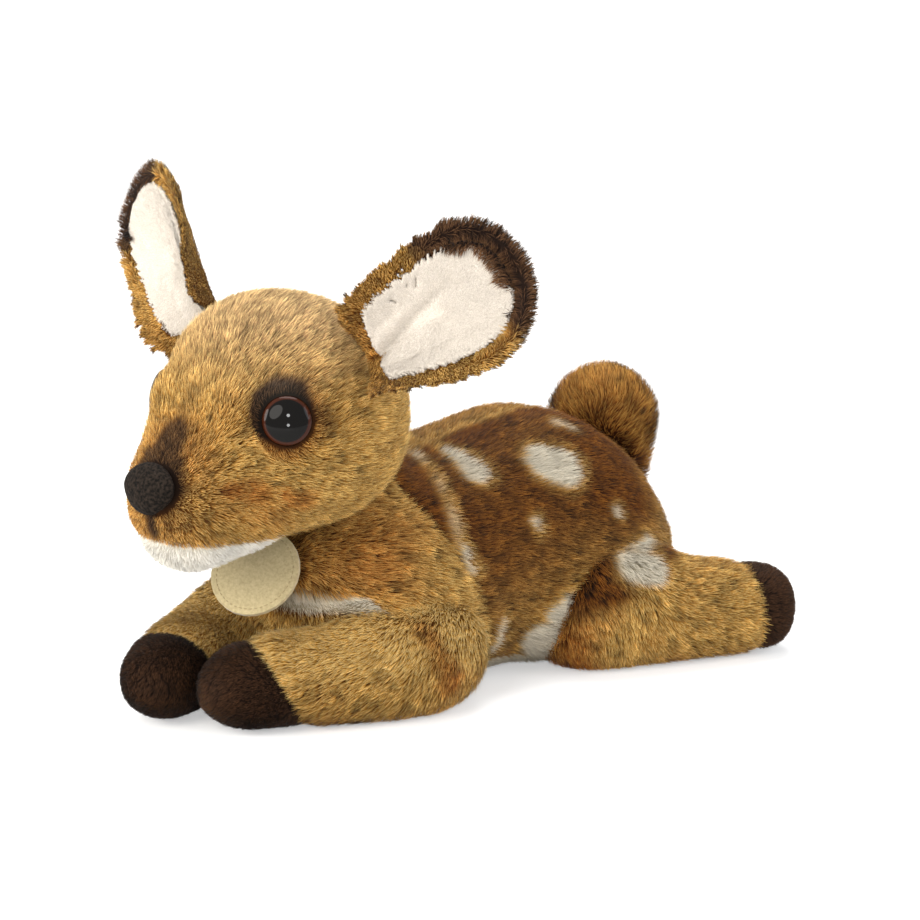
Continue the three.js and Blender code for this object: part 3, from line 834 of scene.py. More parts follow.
SPOTS = (
    Patch((8.0, 5.5, 91.0), (27.5, 6.0, 83.0), 2.0, 5.2, 0.95, 0.55),
    Patch((33.4, 37.6, 83.0), (36.8, 44.2, 80.8), 8.2, 8.6, 1.0, 0.4),
    Patch((19.5, 59.0, 94.5), (23.5, 62.5, 92.0), 2.6, 2.6, 0.5, 1.1),
    Patch((44.4, 21.0, 65.5), (45.8, 21.5, 61.5), 1.9, 2.0, 0.75, 1.0),
    Patch((47.0, 64.5, 63.0), (47.2, 64.2, 61.0), 1.9, 1.9, 0.6, 1.1),
    Patch((48.5, 76.0, 44.5), (52.0, 70.0, 41.5), 6.2, 7.2, 1.0, 0.4),
    Patch((57.5, 61.0, 41.0), (61.5, 67.5, 40.0), 7.0, 7.0, 1.0, 0.4),
    Patch((46.8, 40.0, 38.0), (44.0, 31.5, 26.0), 2.6, 4.6, 1.0, 0.5),
    Patch((42.0, 27.0, 17.0), (34.0, 38.0, 11.0), 7.5, 9.0, 1.0, 0.35),
    Patch((44.3, 3.6, 29.0), (36.1, 5.9, 13.5), 1.6, 2.2, 0.75, 0.8),
    Patch((42.5, -16.6, 62.5), (45.2, -14.2, 52.5), 1.9, 2.6, 0.85, 0.7),
)
# the spots that run over from the saddle onto a rear leg
HAUNCH_SPOTS = SPOTS[5:7]

SHOULDER_LINE = (
    (1.4, -5.0, 90.0), (20.9, -11.0, 86.0), (32.8, -15.5, 78.0), (42.6, -18.0, 63.0),
    (45.5, -17.0, 52.0),
)


class Markings:
    """The masks of one form, from points on it."""

    def masks(self, points: Array, panel: Array) -> Masks:
        """How far each point is dark, rust and pale.

        Args:
            points: Rows of x, y, z in millimetres.
            panel: The number of the cloth panel that each point is on.

        Returns:
            The masks by name, each from 0 to 1.
        """
        raise NotImplementedError


@dataclass
class TorsoMarkings(Markings):
    """Golden chest, dark saddle with its spots, and an off-white belly."""

    haunch: Patch = Patch((44.0, 48.0, 30.0), (42.0, 36.0, 10.0), 9.0, 8.0, 0.8, 1.2, 2.0)
    breast: Patch = Patch((3.0, -76.0, 45.5), (33.0, -59.0, 44.5), 4.8, 3.0, 1.0, 0.4, 0.5)

    def masks(self, points: Array, panel: Array) -> Masks:
        """See Markings.masks."""
        side = mirrored(points)
        out, back, height = side[:, 0], points[:, 1], points[:, 2]
        saddle = (panel == BodyCloth.SADDLE).astype(float)
        belly = (panel == BodyCloth.BELLY).astype(float)
        # the saddle's dye thins out down the flank, round each spot and at the shoulder seam
        low = smoothstep(70, 25, height)
        dark = saddle * (1.0 - 0.42 * low + 0.12 * soft_noise(points, 22, 5))
        dark *= 1 - HALO_SHARE * cover([spot.halo() for spot in SPOTS], side)
        line = from_path(side, SHOULDER_LINE)
        dark *= smoothstep(0.5, 6.0, line) * 0.8 + 0.2
        # a pale line shows along the seam, most of all near the spine
        high = 0.25 + 0.65 * smoothstep(84, 89, height)
        seam = high * smoothstep(3.2, 0.8, line + soft_noise(points, 5, 8))
        # painted light: the far shoulder beyond the spine is painted lighter, as the light from
        # above and behind falls on it
        far = smoothstep(4, -6, points[:, 0] - MIDDLE) * smoothstep(70, 88, height)
        dark *= 1 - 0.35 * far
        # the chest and the haunch are redder
        chest = (1 - saddle) * smoothstep(-22, -52, back) * smoothstep(34, 60, height)
        haunch = self.haunch.share(side)
        rust = 0.65 * chest + 0.25 * soft_noise(points, 18, 11) * (1 - saddle) + haunch
        dark *= 1 - 0.6 * haunch
        rust = np.clip(rust, 0, 1)
        # the white panel shows at the breast as a strip only
        strip = smoothstep(-38, -46, back) * smoothstep(14, 20, height)
        belly *= 1 - strip * smoothstep(42.5, 40, height)
        pale = np.maximum.reduce([cover(SPOTS, side) * saddle, seam, 0.95 * belly])
        # along the spine the pile is paler, partly from its pale fibre tips and partly as painted
        # light from above and behind; the rump is painted lighter as painted rim light
        crest = smoothstep(6.0, 1.0, out + soft_noise(points, 6, 9)) * saddle
        rump = smoothstep(76, 100, back + 4 * soft_noise(points, 9, 12))
        dark *= (1 - 0.65 * crest) * (1 - 0.4 * rump)
        pale = np.maximum(pale, self.breast.share(side))
        rust *= 1 - pale
        return {"dark": np.clip(dark, 0, 1), "rust": rust, "pale": np.clip(pale, 0, 1)}


# the muzzle's lower edge, and the fold of cloth over the eye
PARTING = (
    (15.0, -129.0, 95.0), (18.3, -125.7, 100.5), (20.0, -121.0, 105.5), (21.2, -116.2, 109.8),
    (23.9, -111.3, 113.9), (26.8, -106.6, 118.0),
)
BROW = (
    (38.8, -89.0, 130.0), (40.0, -85.3, 131.6), (41.0, -80.3, 133.2), (41.9, -75.1, 134.5),
    (41.8, -66.0, 135.6),
)


@dataclass
class HeadMarkings(Markings):
    """Golden head with a dark muzzle stripe, dark eye corners, a white chin and painted shade along
    its folds.
    """

    nose: Array
    eyes: tuple[Array, Array]
    eye_radius: float
    # the way from the left eye to where its dark ring is widest, and how wide it gets
    ring_lean: Point = (-0.35, -0.40, 0.85)
    ring_least: float = 1.5
    ring_most: float = 5.0
    corners: tuple[Patch, ...] = (
        Patch((30.0, -103.0, 122.0), (33.5, -97.0, 131.0), 5.0, 4.5, 0.8, 1.2),
        Patch((41.5, -86.0, 121.0), (42.0, -84.0, 117.0), 4.0, 3.5, 0.6, 1.4),
    )
    stripe: tuple[Patch, ...] = (
        Patch((0, -131.0, 100.0), (0, -121.0, 112.5), 15.0, 8.0, 0.95, 0.6, 2.0),
        Patch((0, -121.0, 112.5), (0, -109.0, 126.0), 7.0, 3.0, 0.45, 1.6, 2.0),
    )
    lip: Patch = Patch((0, -134.5, 88.0), (0, -131.5, 77.0), 5.6, 2.8, 1.0, 0.8)
    cheek: tuple[Patch, ...] = (
        Patch((27.0, -117.0, 96.0), (31.0, -108.0, 95.0), 4.0, 4.5, 1.0, 1.4, 2.0),
        Patch((36.0, -99.0, 92.0), (38.0, -93.0, 91.0), 4.5, 5.0, 1.0, 1.4, 2.0),
        Patch((26.0, -117.0, 90.0), (34.0, -100.0, 86.0), 6.0, 7.0, 0.5, 1.6, 2.0),
    )

    def masks(self, points: Array, panel: Array) -> Masks:
        """See Markings.masks."""
        side = mirrored(points)
        chin = (panel == HeadCloth.CHIN).astype(float)
        ring, warm = np.zeros(len(points)), np.zeros(len(points))
        for eye in self.eyes:
            away = points - eye
            around = np.linalg.norm(away, axis=1)
            lean = np.array(self.ring_lean) * (np.sign(eye[0] - MIDDLE), 1, 1)
            lean = away @ lean / np.maximum(around, 1)
            reach = self.ring_least + self.ring_most * smoothstep(-0.5, 0.8, lean)
            reach = self.eye_radius + reach
            edge = around + 0.8 * soft_noise(points, 4, 22)
            ring = np.maximum(ring, smoothstep(reach + 1.5, reach - 2.5, edge))
            glow = smoothstep(self.eye_radius + 7, self.eye_radius + 2, around)
            warm = np.maximum(warm, glow)
        # painted shade: the cloth is painted darker along its folds at the brow and at the muzzle's
        # parting, where shade falls
        fold_shade = np.maximum(
            0.65 * smoothstep(4.5, 1.0, from_path(side, BROW) + soft_noise(points, 5, 23)),
            0.5 * smoothstep(4.0, 0.8, from_path(side, PARTING) + soft_noise(points, 5, 24)),
        )
        dark = np.maximum.reduce([
            ring, cover(self.corners, side), cover(self.stripe, side), self.lip.share(side), fold_shade,
        ]) * (1 - chin)
        # the cheek, the muzzle and the eyes' surrounds are redder
        muzzle = smoothstep(34, 16, np.linalg.norm(points - self.nose, axis=1))
        red = 0.95 * cover(self.cheek, side) + 0.3 * muzzle + 0.5 * warm
        red = np.clip(red + 0.35 * soft_noise(points, 15, 21) - 0.05, 0, 1)
        crown = smoothstep(120, 155, points[:, 2])
        rust = red * (1 - chin) * (1 - dark) * (1 - 0.8 * crown)
        return {"dark": dark, "rust": rust, "pale": np.maximum(chin, 0.13 * crown)}


@dataclass
class LegMarkings(Markings):
    """Golden leg; a front leg is painted lighter on top as painted top light, and a rear leg takes
    the saddle's colour and a spot at its root.
    """

    end: End
    # how far back the saddle's colour reaches at each height
    haunch: tuple[Span, ...] = (
        (0, 40.0), (10, 41.6), (17, 39.7), (23, 41.0), (27, 44.2), (32, 51.8), (36, 60.9),
        (40, 76.0), (45, 100.0),
    )
    # the redder fold at a front leg's elbow
    elbow: tuple[Patch, ...] = (
        Patch((52.0, -44.0, 34.0), (58.5, -36.0, 18.0), 6.5, 6.0, 1.0, 1.3, 2.5),
        Patch((42.0, -46.0, 38.5), (50.0, -46.0, 34.0), 4.0, 4.0, 0.9, 1.2, 2.0),
    )

    def masks(self, points: Array, panel: Array) -> Masks:
        """See Markings.masks."""
        side = mirrored(points)
        rust = 0.35 * smoothstep(12, 1, points[:, 2]) + 0.3 * soft_noise(points, 16, 31)
        if self.end is End.REAR:
            # the saddle's colour runs down the haunch as far as a line from the rump to the belly
            line = np.interp(side[:, 2], *zip(*self.haunch))
            edge = side[:, 1] - line + 4 * soft_noise(points, 9, 32)
            low = smoothstep(34, 18, side[:, 2])
            dark = smoothstep(5, -9, edge) * (1 - 0.75 * low)
            rust = (rust + 0.75 * smoothstep(16, -2, edge) * low) * (1 - 0.7 * dark)
            pale = cover(HAUNCH_SPOTS, side)
            dark *= 1 - HALO_SHARE * cover([spot.halo() for spot in HAUNCH_SPOTS], side)
        else:
            fold = cover(self.elbow, side)
            dark = np.zeros(len(points))
            rust = rust + 0.65 * fold
            # painted light: a front leg's top is painted pale, as the light from above falls there,
            # but not in the elbow's fold
            pale = 0.95 * smoothstep(14, 34, points[:, 2]) * (1 - fold)
        return {"dark": dark, "rust": np.clip(rust, 0, 1), "pale": pale}


class TailMarkings(Markings):
    """A tawny tail with redder lumps."""

    def masks(self, points: Array, panel: Array) -> Masks:
        """See Markings.masks."""
        none = np.zeros(len(points))
        return {"dark": none, "rust": np.clip(0.5 * soft_noise(points, 14, 41), 0, 1), "pale": none}


@dataclass
class EarMarkings(Markings):
    """Golden ear with a brown-black band round the front of its tip."""

    root: Array
    aim: Array
    face: Array
    length: float
    node: str
    # where the band starts on the upper and the lower rim, as shares of the length
    starts: Span

    @property
    def upward(self) -> Array:
        """The way over the ear's face to its upper rim."""
        across = np.cross(self.face, self.aim)
        return across * np.sign(across[2])

    def along(self, points: Array) -> Array:
        """How far each point is from the root, as a share of the ear's length."""
        return (points - self.root) @ self.aim / self.length

    def frontness(self, points: Array) -> Array:
        """How far each point of the leaf looks forwards.

        Args:
            points: Rows of x, y, z.

        Returns:
            A share for each point, from 0 at the leaf's back to 1 at its front.
        """
        tree = search_tree((self.node,))
        normals = np.array([tree.find_nearest(p * MM)[1] for p in points])
        return smoothstep(-0.15, 0.45, normals @ self.face)

    def past_start(self, points: Array) -> Array:
        """How far each point is past the band's start.

        Args:
            points: Rows of x, y, z.

        Returns:
            A share of the ear's length for each point, below 0 before the band.
        """
        share = self.along(points)
        off = points - self.root - np.outer(share * self.length, self.aim)
        upper = smoothstep(-8, 8, off @ self.upward)
        start = self.starts[1] + (self.starts[0] - self.starts[1]) * upper
        return share - start + 0.04 * soft_noise(points, 6, 51)

    def masks(self, points: Array, panel: Array) -> Masks:
        """See Markings.masks."""
        share, front, edge = self.along(points), self.frontness(points), self.past_start(points)
        band = smoothstep(-0.04, 0.05, edge) * (0.25 + 0.75 * front)
        tip = smoothstep(0.84, 0.93, share) * 0.9
        rust = np.clip(0.35 * smoothstep(0.45, 0.0, share) + 0.2 * soft_noise(points, 12, 52), 0, 1)
        dark = np.maximum(band, tip)
        return {"dark": dark, "rust": rust * (1 - dark), "pale": np.zeros(len(points))}


@dataclass
class RimMarkings(Markings):
    """A white lining whose rim the ear's dark fur covers near the tip, with painted shade along its
    fold.
    """

    ear: EarMarkings
    centre: Array
    # how far the dark fur reaches in from the ear's rim, and over what share of the ear's length
    # past the band's start it widens to that
    reach: float
    spread: float
    # the ends of the lining's fold
    crease: tuple[Array, Array]
    # the outline is kept as its farthest point in each of these directions
    directions: int = 48
    crease_width: float = 1.3
    crease_shade: float = 0.5

    def masks(self, points: Array, panel: Array) -> Masks:
        """See Markings.masks."""
        here = self._flat(points)
        slots = np.arange(self.directions)
        rim = np.interp(self._slot(here), slots, self._outline(), period=self.directions)
        away = rim - np.linalg.norm(here, axis=1) + 1.5 * soft_noise(points, 3.5, 53)
        # the band widens from nothing at its start to its full reach at the tip
        reach = self.reach * smoothstep(-0.02, self.spread, self.ear.past_start(points))
        dark = smoothstep(reach + 0.5, reach - 0.5, away) * smoothstep(0, 0.8, reach)
        # painted shade: the lining is painted greyer along its fold, most near the root, and this
        # goes in the rust mask
        ends = (p - (p - self.centre) @ self.ear.face * self.ear.face for p in self.crease)
        off, share = from_segment(here + self.centre, *ends)
        shade = self.crease_shade * (1 - 0.6 * share) * np.exp(-(off / self.crease_width) ** 2)
        return {"dark": dark, "rust": shade * (1 - dark), "pale": np.zeros(len(points))}

    def _outline(self) -> Array:
        """Measures the ear's leaf from its centre, as seen along its face.

        Returns:
            The outline's distance in each direction, smoothed.
        """
        flat = self._flat(coordinates(frame["nodes"][self.ear.node].data))
        out = np.linalg.norm(flat, axis=1)
        slots = np.round(self._slot(flat)).astype(int) % self.directions
        every = np.arange(self.directions)
        outline = np.array([out[slots == k].max() if (slots == k).any() else np.nan for k in every])
        known = ~np.isnan(outline)
        outline = np.interp(every, np.flatnonzero(known), outline[known], period=self.directions)
        for _ in range(3):
            outline = (np.roll(outline, 1) + 2 * outline + np.roll(outline, -1)) / 4
        return outline

    def _flat(self, points: Array) -> Array:
        """The points from the centre, pressed flat along the ear's face."""
        away = points - self.centre
        return away - np.outer(away @ self.ear.face, self.ear.face)

    def _slot(self, ways: Array) -> Array:
        """Finds which of the outline's directions each way points in.

        Args:
            ways: Rows of x, y, z from the centre.

        Returns:
            The direction's number, with its fraction, round the ear's face.
        """
        across = np.cross(self.ear.face, self.ear.aim)
        turn = np.arctan2(ways @ across, ways @ self.ear.aim) % (2 * np.pi)
        return turn / (2 * np.pi) * self.directions


# Skins: the sewn covers with what fills them


@dataclass
class Seam:
    """A sewn line that draws the cloth in, on both sides of the fawn."""

    path: tuple[Point, ...]
    depth: float
    width: float


@dataclass
class Corner:
    """A soft inside corner at a joint, where two stuffed forms are sewn to each other."""

    joint: str
    nodes: tuple[str, ...]
    spread: float = 46.0
    width: float = 30.0

    def fill(self, points: Array, normals: Array) -> Array:
        """Lets the cloth out near the other form, as a smooth joint of the two does.

        Args:
            points: Rows of x, y, z in millimetres.
            normals: The cloth's normals.

        Returns:
            The moved points.
        """
        tree = search_tree(self.nodes)
        moved = points.copy()
        reach = np.linalg.norm(points - joint_point(self.joint), axis=1)
        for index in np.flatnonzero(reach < self.spread):
            place, normal, _, away = tree.find_nearest(points[index] * MM, self.width * MM)
            if place is None or (Vector(points[index] * MM) - place).dot(normal) < 0:
                continue
            share = smoothstep(self.spread, 0.65 * self.spread, reach[index:index + 1])[0]
            rise = share * (self.width - away / MM) ** 2 / (4 * self.width)
            moved[index] += normals[index] * rise
        return moved


def leg_corner(end: End, side: Side, *nodes: str) -> Corner:
    """The corner where a leg and the torso meet, filled towards the given nodes."""
    return Corner(f"{end}_leg_{side}_splay", nodes)


def tail_corner(node: str) -> Corner:
    """The corner where the tail and the torso meet, filled towards the given node."""
    return Corner("tail_wag", (node,), 34.0, 12.0)


@dataclass
class StuffedForm:
    """One stuffed form: its covers sewn together and puffed by their filling."""

    name: str
    body: str
    covers: tuple[str, ...]
    fillings: tuple[str, ...]
    markings: Markings
    neighbours: tuple[str, ...] = ()
    seams: tuple[Seam, ...] = ()
    corners: tuple[Corner, ...] = ()
    moves: Callable[[Array, Array], Array] | None = None
    # the skin's face size, how often it is divided, and how far it lies inside the CAD covers
    voxel: float = 4.5
    levels: int = 1
    inset: float = 1.6
    # the filling swells the cloth by up to half of this, and holds it at its seams
    swell: float = 3.0
    sewn_reach: float = 6.0
    seam_depth: float = 1.3
    seam_width: float = 3.0
    # how much of the form is filled
    fill: float = 0.85
    surface: Object = field(init=False)

    def build(self) -> "StuffedForm":
        """Builds the skin, puffs it and draws in its seams.

        Returns:
            The form, with its skin as one mesh.
        """
        self.surface = self._blank()
        self._puff()
        subdivision = self.surface.modifiers.new("Smooth", "SUBSURF")
        subdivision.levels = subdivision.render_levels = self.levels
        bake_modifiers(self.surface)
        mesh = self.surface.data
        relax(mesh, 6)
        self._mark_panels()
        points, normals = coordinates(mesh), point_normals(mesh)
        side = mirrored(points)
        drawn = self.seam_depth * np.exp(-(kept(mesh, "seam") / self.seam_width) ** 2)
        for seam in self.seams:
            near = np.exp(-(from_path(side, seam.path) / seam.width) ** 2)
            drawn = np.maximum(drawn, seam.depth * near)
        points = points - normals * drawn[:, None]
        if self.moves:
            points = self.moves(points, normals)
        for corner in self.corners:
            points = corner.fill(points, normals)
        points[:, 2] = np.maximum(points[:, 2], CLOTH_LOW)
        set_coordinates(mesh, points)
        for name, mask in self.markings.masks(coordinates(mesh), self.panels()).items():
            store(mesh, name, mask)
        self._find_room()
        return self

    def panels(self) -> Array:
        """The number of the cloth panel that each point of the skin is on."""
        return np.rint(kept(self.surface.data, "panel")).astype(int)

    def _blank(self) -> Object:
        """Joins copies of the CAD nodes and wraps them in one skin.

        Returns:
            The skin, a little inside the CAD covers.
        """
        work = bmesh.new()
        for node in (*self.covers, *self.fillings):
            work.from_mesh(frame["nodes"][node].data)
        mesh = bpy.data.meshes.new(self.name)
        work.to_mesh(mesh)
        work.free()
        skin = in_scene(self.name, mesh)
        wrap_up(skin, self.voxel, 4)
        points = coordinates(skin.data)
        set_coordinates(skin.data, points - point_normals(skin.data) * self.inset)
        return skin

    def _puff(self, frames: int = 20, pressure: float = 4.0) -> None:
        """Lets the filling swell the cloth between its seams.

        Args:
            frames: How long the cloth moves.
            pressure: How hard the filling presses.
        """
        self._mark_panels()
        mesh = self.surface.data
        rest, held = coordinates(mesh), np.exp(-(kept(mesh, "seam") / self.sewn_reach) ** 2)
        group = self.surface.vertex_groups.new(name="sewn")
        for index, weight in enumerate(held):
            group.add([index], float(weight), "REPLACE")
        cloth = self.surface.modifiers.new("Cloth", "CLOTH")
        cloth.settings.quality = 5
        cloth.settings.use_pressure = True
        cloth.settings.uniform_pressure_force = pressure
        cloth.settings.effector_weights.gravity = 0
        cloth.settings.vertex_group_mass = "sewn"
        cloth.point_cache.frame_start, cloth.point_cache.frame_end = 1, frames
        for step in range(1, frames + 1):
            bpy.context.scene.frame_set(step)
        bake_modifiers(self.surface)
        self.surface.vertex_groups.clear()
        bpy.context.scene.frame_set(1)
        shift = coordinates(self.surface.data) - rest
        size = np.linalg.norm(shift, axis=1, keepdims=True)
        shift *= np.minimum(1, self.swell / np.maximum(size, 1e-9)) * 0.5
        set_coordinates(self.surface.data, rest + shift)
        log.info("%s: puffed by up to %.1f mm", self.name, np.linalg.norm(shift, axis=1).max())

    def _mark_panels(self) -> None:
        """Stores which cloth panel each point is on and how far it is from a seam."""
        mesh = self.surface.data
        points = coordinates(mesh)
        trees = [search_tree((node,)) for node in self.covers]
        away = np.array([[tree.find_nearest(p * MM)[3] for p in points] for tree in trees])
        panel = np.argmin(away, axis=0)
        one, two = edge_ends(mesh)
        across = panel[one] != panel[two]
        seam = np.full(len(points), 1e3)
        if across.any():
            middles = (points[one[across]] + points[two[across]]) / 2
            seam = nearest_index(points, middles)[1]
        store(mesh, "panel", panel)
        store(mesh, "seam", seam)

    def _find_room(self, start: float = 1.0, most: float = 20.0) -> None:
        """Stores how far the pile can stand before it meets a neighbour.

        Args:
            start: How far under the skin each look outwards starts.
            most: How far it goes.
        """
        mesh = self.surface.data
        points, normals = coordinates(mesh), point_normals(mesh)
        room = np.full(len(points), most)
        if self.neighbours:
            tree = search_tree(self.neighbours)
            for index, (point, normal) in enumerate(zip(points, normals)):
                under = Vector((point - normal * start) * MM)
                place, facing, _, away = tree.ray_cast(under, Vector(normal), most * MM)
                if place is None:
                    continue
                free = away / MM - start
                if facing.dot(Vector(normal)) > 0:
                    # a root just inside a neighbour keeps short pile, and a deeper one none
                    room[index] = 1.2 if free < 4 else 0.0
                else:
                    room[index] = max(free, 0.0)
        store(mesh, "room", room)

    def dress(self, *cloths: tuple[Material, str]) -> None:
        """Cuts the skin into its cloth panels and gives each its material.

        Args:
            cloths: The backing's material for each cover, with the record's material slot, which is
                not used.
        """
        mesh = self.surface.data
        panel, points = self.panels(), coordinates(mesh)
        faces = [list(p.vertices) for p in mesh.polygons]
        count = len(self.covers)
        owner = np.array([np.bincount(panel[f], minlength=count).argmax() for f in faces])
        for index, (node, (backing, slot)) in enumerate(zip(self.covers, cloths)):
            chosen = [f for f, o in zip(faces, owner) if o == index]
            used = np.unique(np.concatenate(chosen)) if chosen else np.array([], int)
            renumber = {int(old): new for new, old in enumerate(used)}
            moved = [[renumber[i] for i in f] for f in chosen]
            skin = mesh_object(node + "_skin", points[used] * MM, moved, backing)
            for name in MASKS:
                store(skin.data, name, kept(mesh, name)[used])
            stands_for = (node, *self.fillings) if index == 0 else (node,)
            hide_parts(*stands_for)
            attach(skin, self.body)
        bpy.data.objects.remove(self.surface)
        log.info("%s: %d panels, %d faces", self.name, len(self.covers), len(faces))


# Pile: the fibres that stand on a skin

LEAST_ROOM = 0.6
LEAST_TRIM = 0.02
# how deep a fibre is rooted under the skin
ROOT_DEPTH = 0.4
# each fibre is a tapered ribbon of five points: a quad, and a triangle on its end
FIBRE_POINTS = 5
FIBRE_LOOPS = (0, 1, 3, 2, 2, 3, 4)
FIBRE_FACES = (0, 4)
FIBRE_ALONG = (0.0, 0.0, 0.5, 0.5, 1.0)
# where each loop of a fibre lies in its cell of the map for baking
FIBRE_CELL = (
    (0.1, 0.06), (0.9, 0.06), (0.9, 0.5), (0.1, 0.5), (0.1, 0.5), (0.9, 0.5), (0.5, 0.94),
)


@dataclass
class Pile:
    """The fibres of one cloth panel."""

    name: str
    panel: IntEnum
    length: float
    # fibres on each square millimetre, and how wide each is
    density: float
    width: float
    # how steeply the lower and the upper half of a fibre stand, in degrees
    lift: Span = (46.0, 15.0)
    tuft_size: float = 2.6
    tuft_pull: float = 0.2
    swirl: float = 0.32
    length_change: float = 0.3
    # the pile's half of the fawn, or none for both
    half: Side | None = None
    # the pile keeps to where the dark mask is between these
    dark_above: float = 0.0
    dark_below: float = 1.0
    seed: int = 0


@dataclass
class Roots:
    """Where a pile's fibres stand, and what the skin says there."""

    place: Array
    normal: Array
    room: Array
    trim: Array
    masks: Masks


@dataclass
class Coat:
    """Grows piles on a form."""

    form: StuffedForm
    # from places and normals on the skin, the way that the pile lies
    comb: Callable[[Array, Array], Array]
    # from places on the skin, the share of its length that the pile keeps
    trim: Callable[[Array], Array] | None = None
    # how much fibres differ: their turn and roll in radians, and their lift in degrees
    turn_change: float = 0.16
    roll_change: float = 0.45
    lift_change: float = 9.0

    def grow(self, pile: Pile, material: Material) -> None:
        """Grows one pile as a mesh of tapered fibres.

        Args:
            pile: What the fibres are like.
            material: Their finish.
        """
        rng = np.random.default_rng(SEED + pile.seed)
        thinning = 1.0
        roots = self._sow(pile, rng, thinning)
        root, normal = roots.place, roots.normal
        count = len(root)

        comb = along_skin(self.comb(root, normal), normal)
        turn = pile.swirl * soft_noise(root, 20, 61) + 0.6 * pile.swirl * soft_noise(root, 7, 62)
        turn += rng.normal(0, self.turn_change, count)
        comb = swung(comb, np.cross(normal, comb), turn)

        length = pile.length * roots.trim * (1 + pile.length_change * rng.uniform(-1, 0.6, count))
        lifts = [math.radians(angle) for angle in pile.lift]
        wild = rng.normal(0, math.radians(self.lift_change), count)
        # a fibre is pressed down where a neighbour leaves it little room
        rise = length * 0.5 * (math.sin(lifts[0]) + math.sin(lifts[1]))
        squeeze = np.clip(roots.room / np.minimum(rise, 1.5), 0.12, 1)
        low, high = (np.clip((angle + wild) * squeeze, 0.05, 1.5) for angle in lifts)
        first_half, second_half = swung(comb, normal, low), swung(comb, normal, high)
        middle = root + first_half * (length * 0.5)[:, None]
        tip = middle + second_half * (length * 0.5)[:, None]

        # the tips of a tuft are drawn to its leader's
        area = pile.density * thinning * pile.tuft_size ** 2
        tufts = max(int(count / max(area, 1)), 1)
        leader = rng.choice(count, tufts, replace=False)
        nearest, away = nearest_index(root, root[leader])
        pull = pile.tuft_pull * rng.uniform(0.55, 1.0, count) * (away < 2 * pile.tuft_size)
        tip += (tip[leader][nearest] - tip) * pull[:, None]
        middle += (middle[leader][nearest] - middle) * (0.4 * pull)[:, None]
        # fibres and tufts differ in tint, and pale cloth is the most even
        tint = rng.normal(0, 0.55, count) + 0.5 * rng.normal(0, 1, tufts)[nearest]
        tint = (1 - 0.8 * roots.masks["pale"]) * tint

        across = unit(np.cross(second_half, normal))
        roll = rng.normal(0, self.roll_change, count)
        across = swung(across, unit(np.cross(across, second_half)), roll)
        half = pile.width / 2 * rng.uniform(0.7, 1.25, count)[:, None] / math.sqrt(thinning)
        base = root - normal * ROOT_DEPTH
        corner = np.stack(
            [base - across * half, base + across * half,
             middle - across * half * 0.85, middle + across * half * 0.85, tip], axis=1,
        )
        lowest = FIBRE_LOW + 0.5 * rng.random((count, 1))
        corner[..., 2] = np.maximum(corner[..., 2], lowest)
        # the light falls on the nap as a whole, and a little on each fibre's own face
        flat = unit(np.cross(across, second_half))
        nap = unit(0.70 * normal + 0.42 * flat + 0.2 * rng.normal(0, 1, (count, 3)))
        mesh = self._mesh(pile.name, corner, nap, {"tint": tint, **roots.masks})
        give_material(mesh, material)
        fibres = in_scene(pile.name, mesh)
        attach(fibres, self.form.body)
        log.info("%s: %d fibres", pile.name, count)

    def _sow(self, pile: Pile, rng: np.random.Generator, thinning: float) -> Roots:
        """Spreads roots evenly over a panel and drops those that have no room.

        Args:
            pile: What the fibres are like.
            rng: Where random numbers come from.
            thinning: The share of the fibres that grows.

        Returns:
            The roots.
        """
        mesh = self.form.surface.data
        mesh.calc_loop_triangles()
        corners = fetched(mesh.loop_triangles, "vertices", 3, np.int32)
        points, normals = coordinates(mesh), point_normals(mesh)
        corners = corners[(self.form.panels()[corners] == pile.panel).sum(axis=1) >= 2]
        a, b, c = (points[corners[:, k]] for k in range(3))
        area = np.linalg.norm(np.cross(b - a, c - a), axis=1) / 2
        total = np.cumsum(area) * pile.density * thinning
        count = int(total[-1])
        picked = np.searchsorted(total, (np.arange(count) + rng.random(count)) * total[-1] / count)
        spread = corners[np.minimum(picked, len(corners) - 1)]
        first, second = rng.random(count), rng.random(count)
        flip = first + second > 1
        first, second = np.where(flip, 1 - first, first), np.where(flip, 1 - second, second)
        weights = np.stack([1 - first - second, first, second], axis=1)

        def blend(values: Array) -> Array:
            """Carries the skin's values to the fibres' roots."""
            shares = weights if values.ndim == 1 else weights[..., None]
            return np.sum(values[spread] * shares, axis=1)

        place, room = blend(points), blend(kept(mesh, "room"))
        masks = {name: blend(kept(mesh, name)) for name in MASKS}
        trim = self.trim(place) if self.trim else np.ones(count)
        keep = (room > LEAST_ROOM) & (trim > LEAST_TRIM)
        if pile.half:
            keep &= pile.half.sign * (place[:, 0] - MIDDLE) >= 0
        keep &= (masks["dark"] >= pile.dark_above) & (masks["dark"] <= pile.dark_below)
        return Roots(
            place[keep], unit(blend(normals))[keep], room[keep], trim[keep],
            {name: mask[keep] for name, mask in masks.items()},
        )

    @staticmethod
    def _mesh(name: str, corner: Array, nap: Array, values: Masks) -> Mesh:
        """Makes the fibres' mesh, with its map for baking.

        Args:
            name: The mesh's name.
            corner: Each fibre's five points.
            nap: Each fibre's normal.
            values: What is stored with each fibre, by name.

        Returns:
            The mesh.
        """
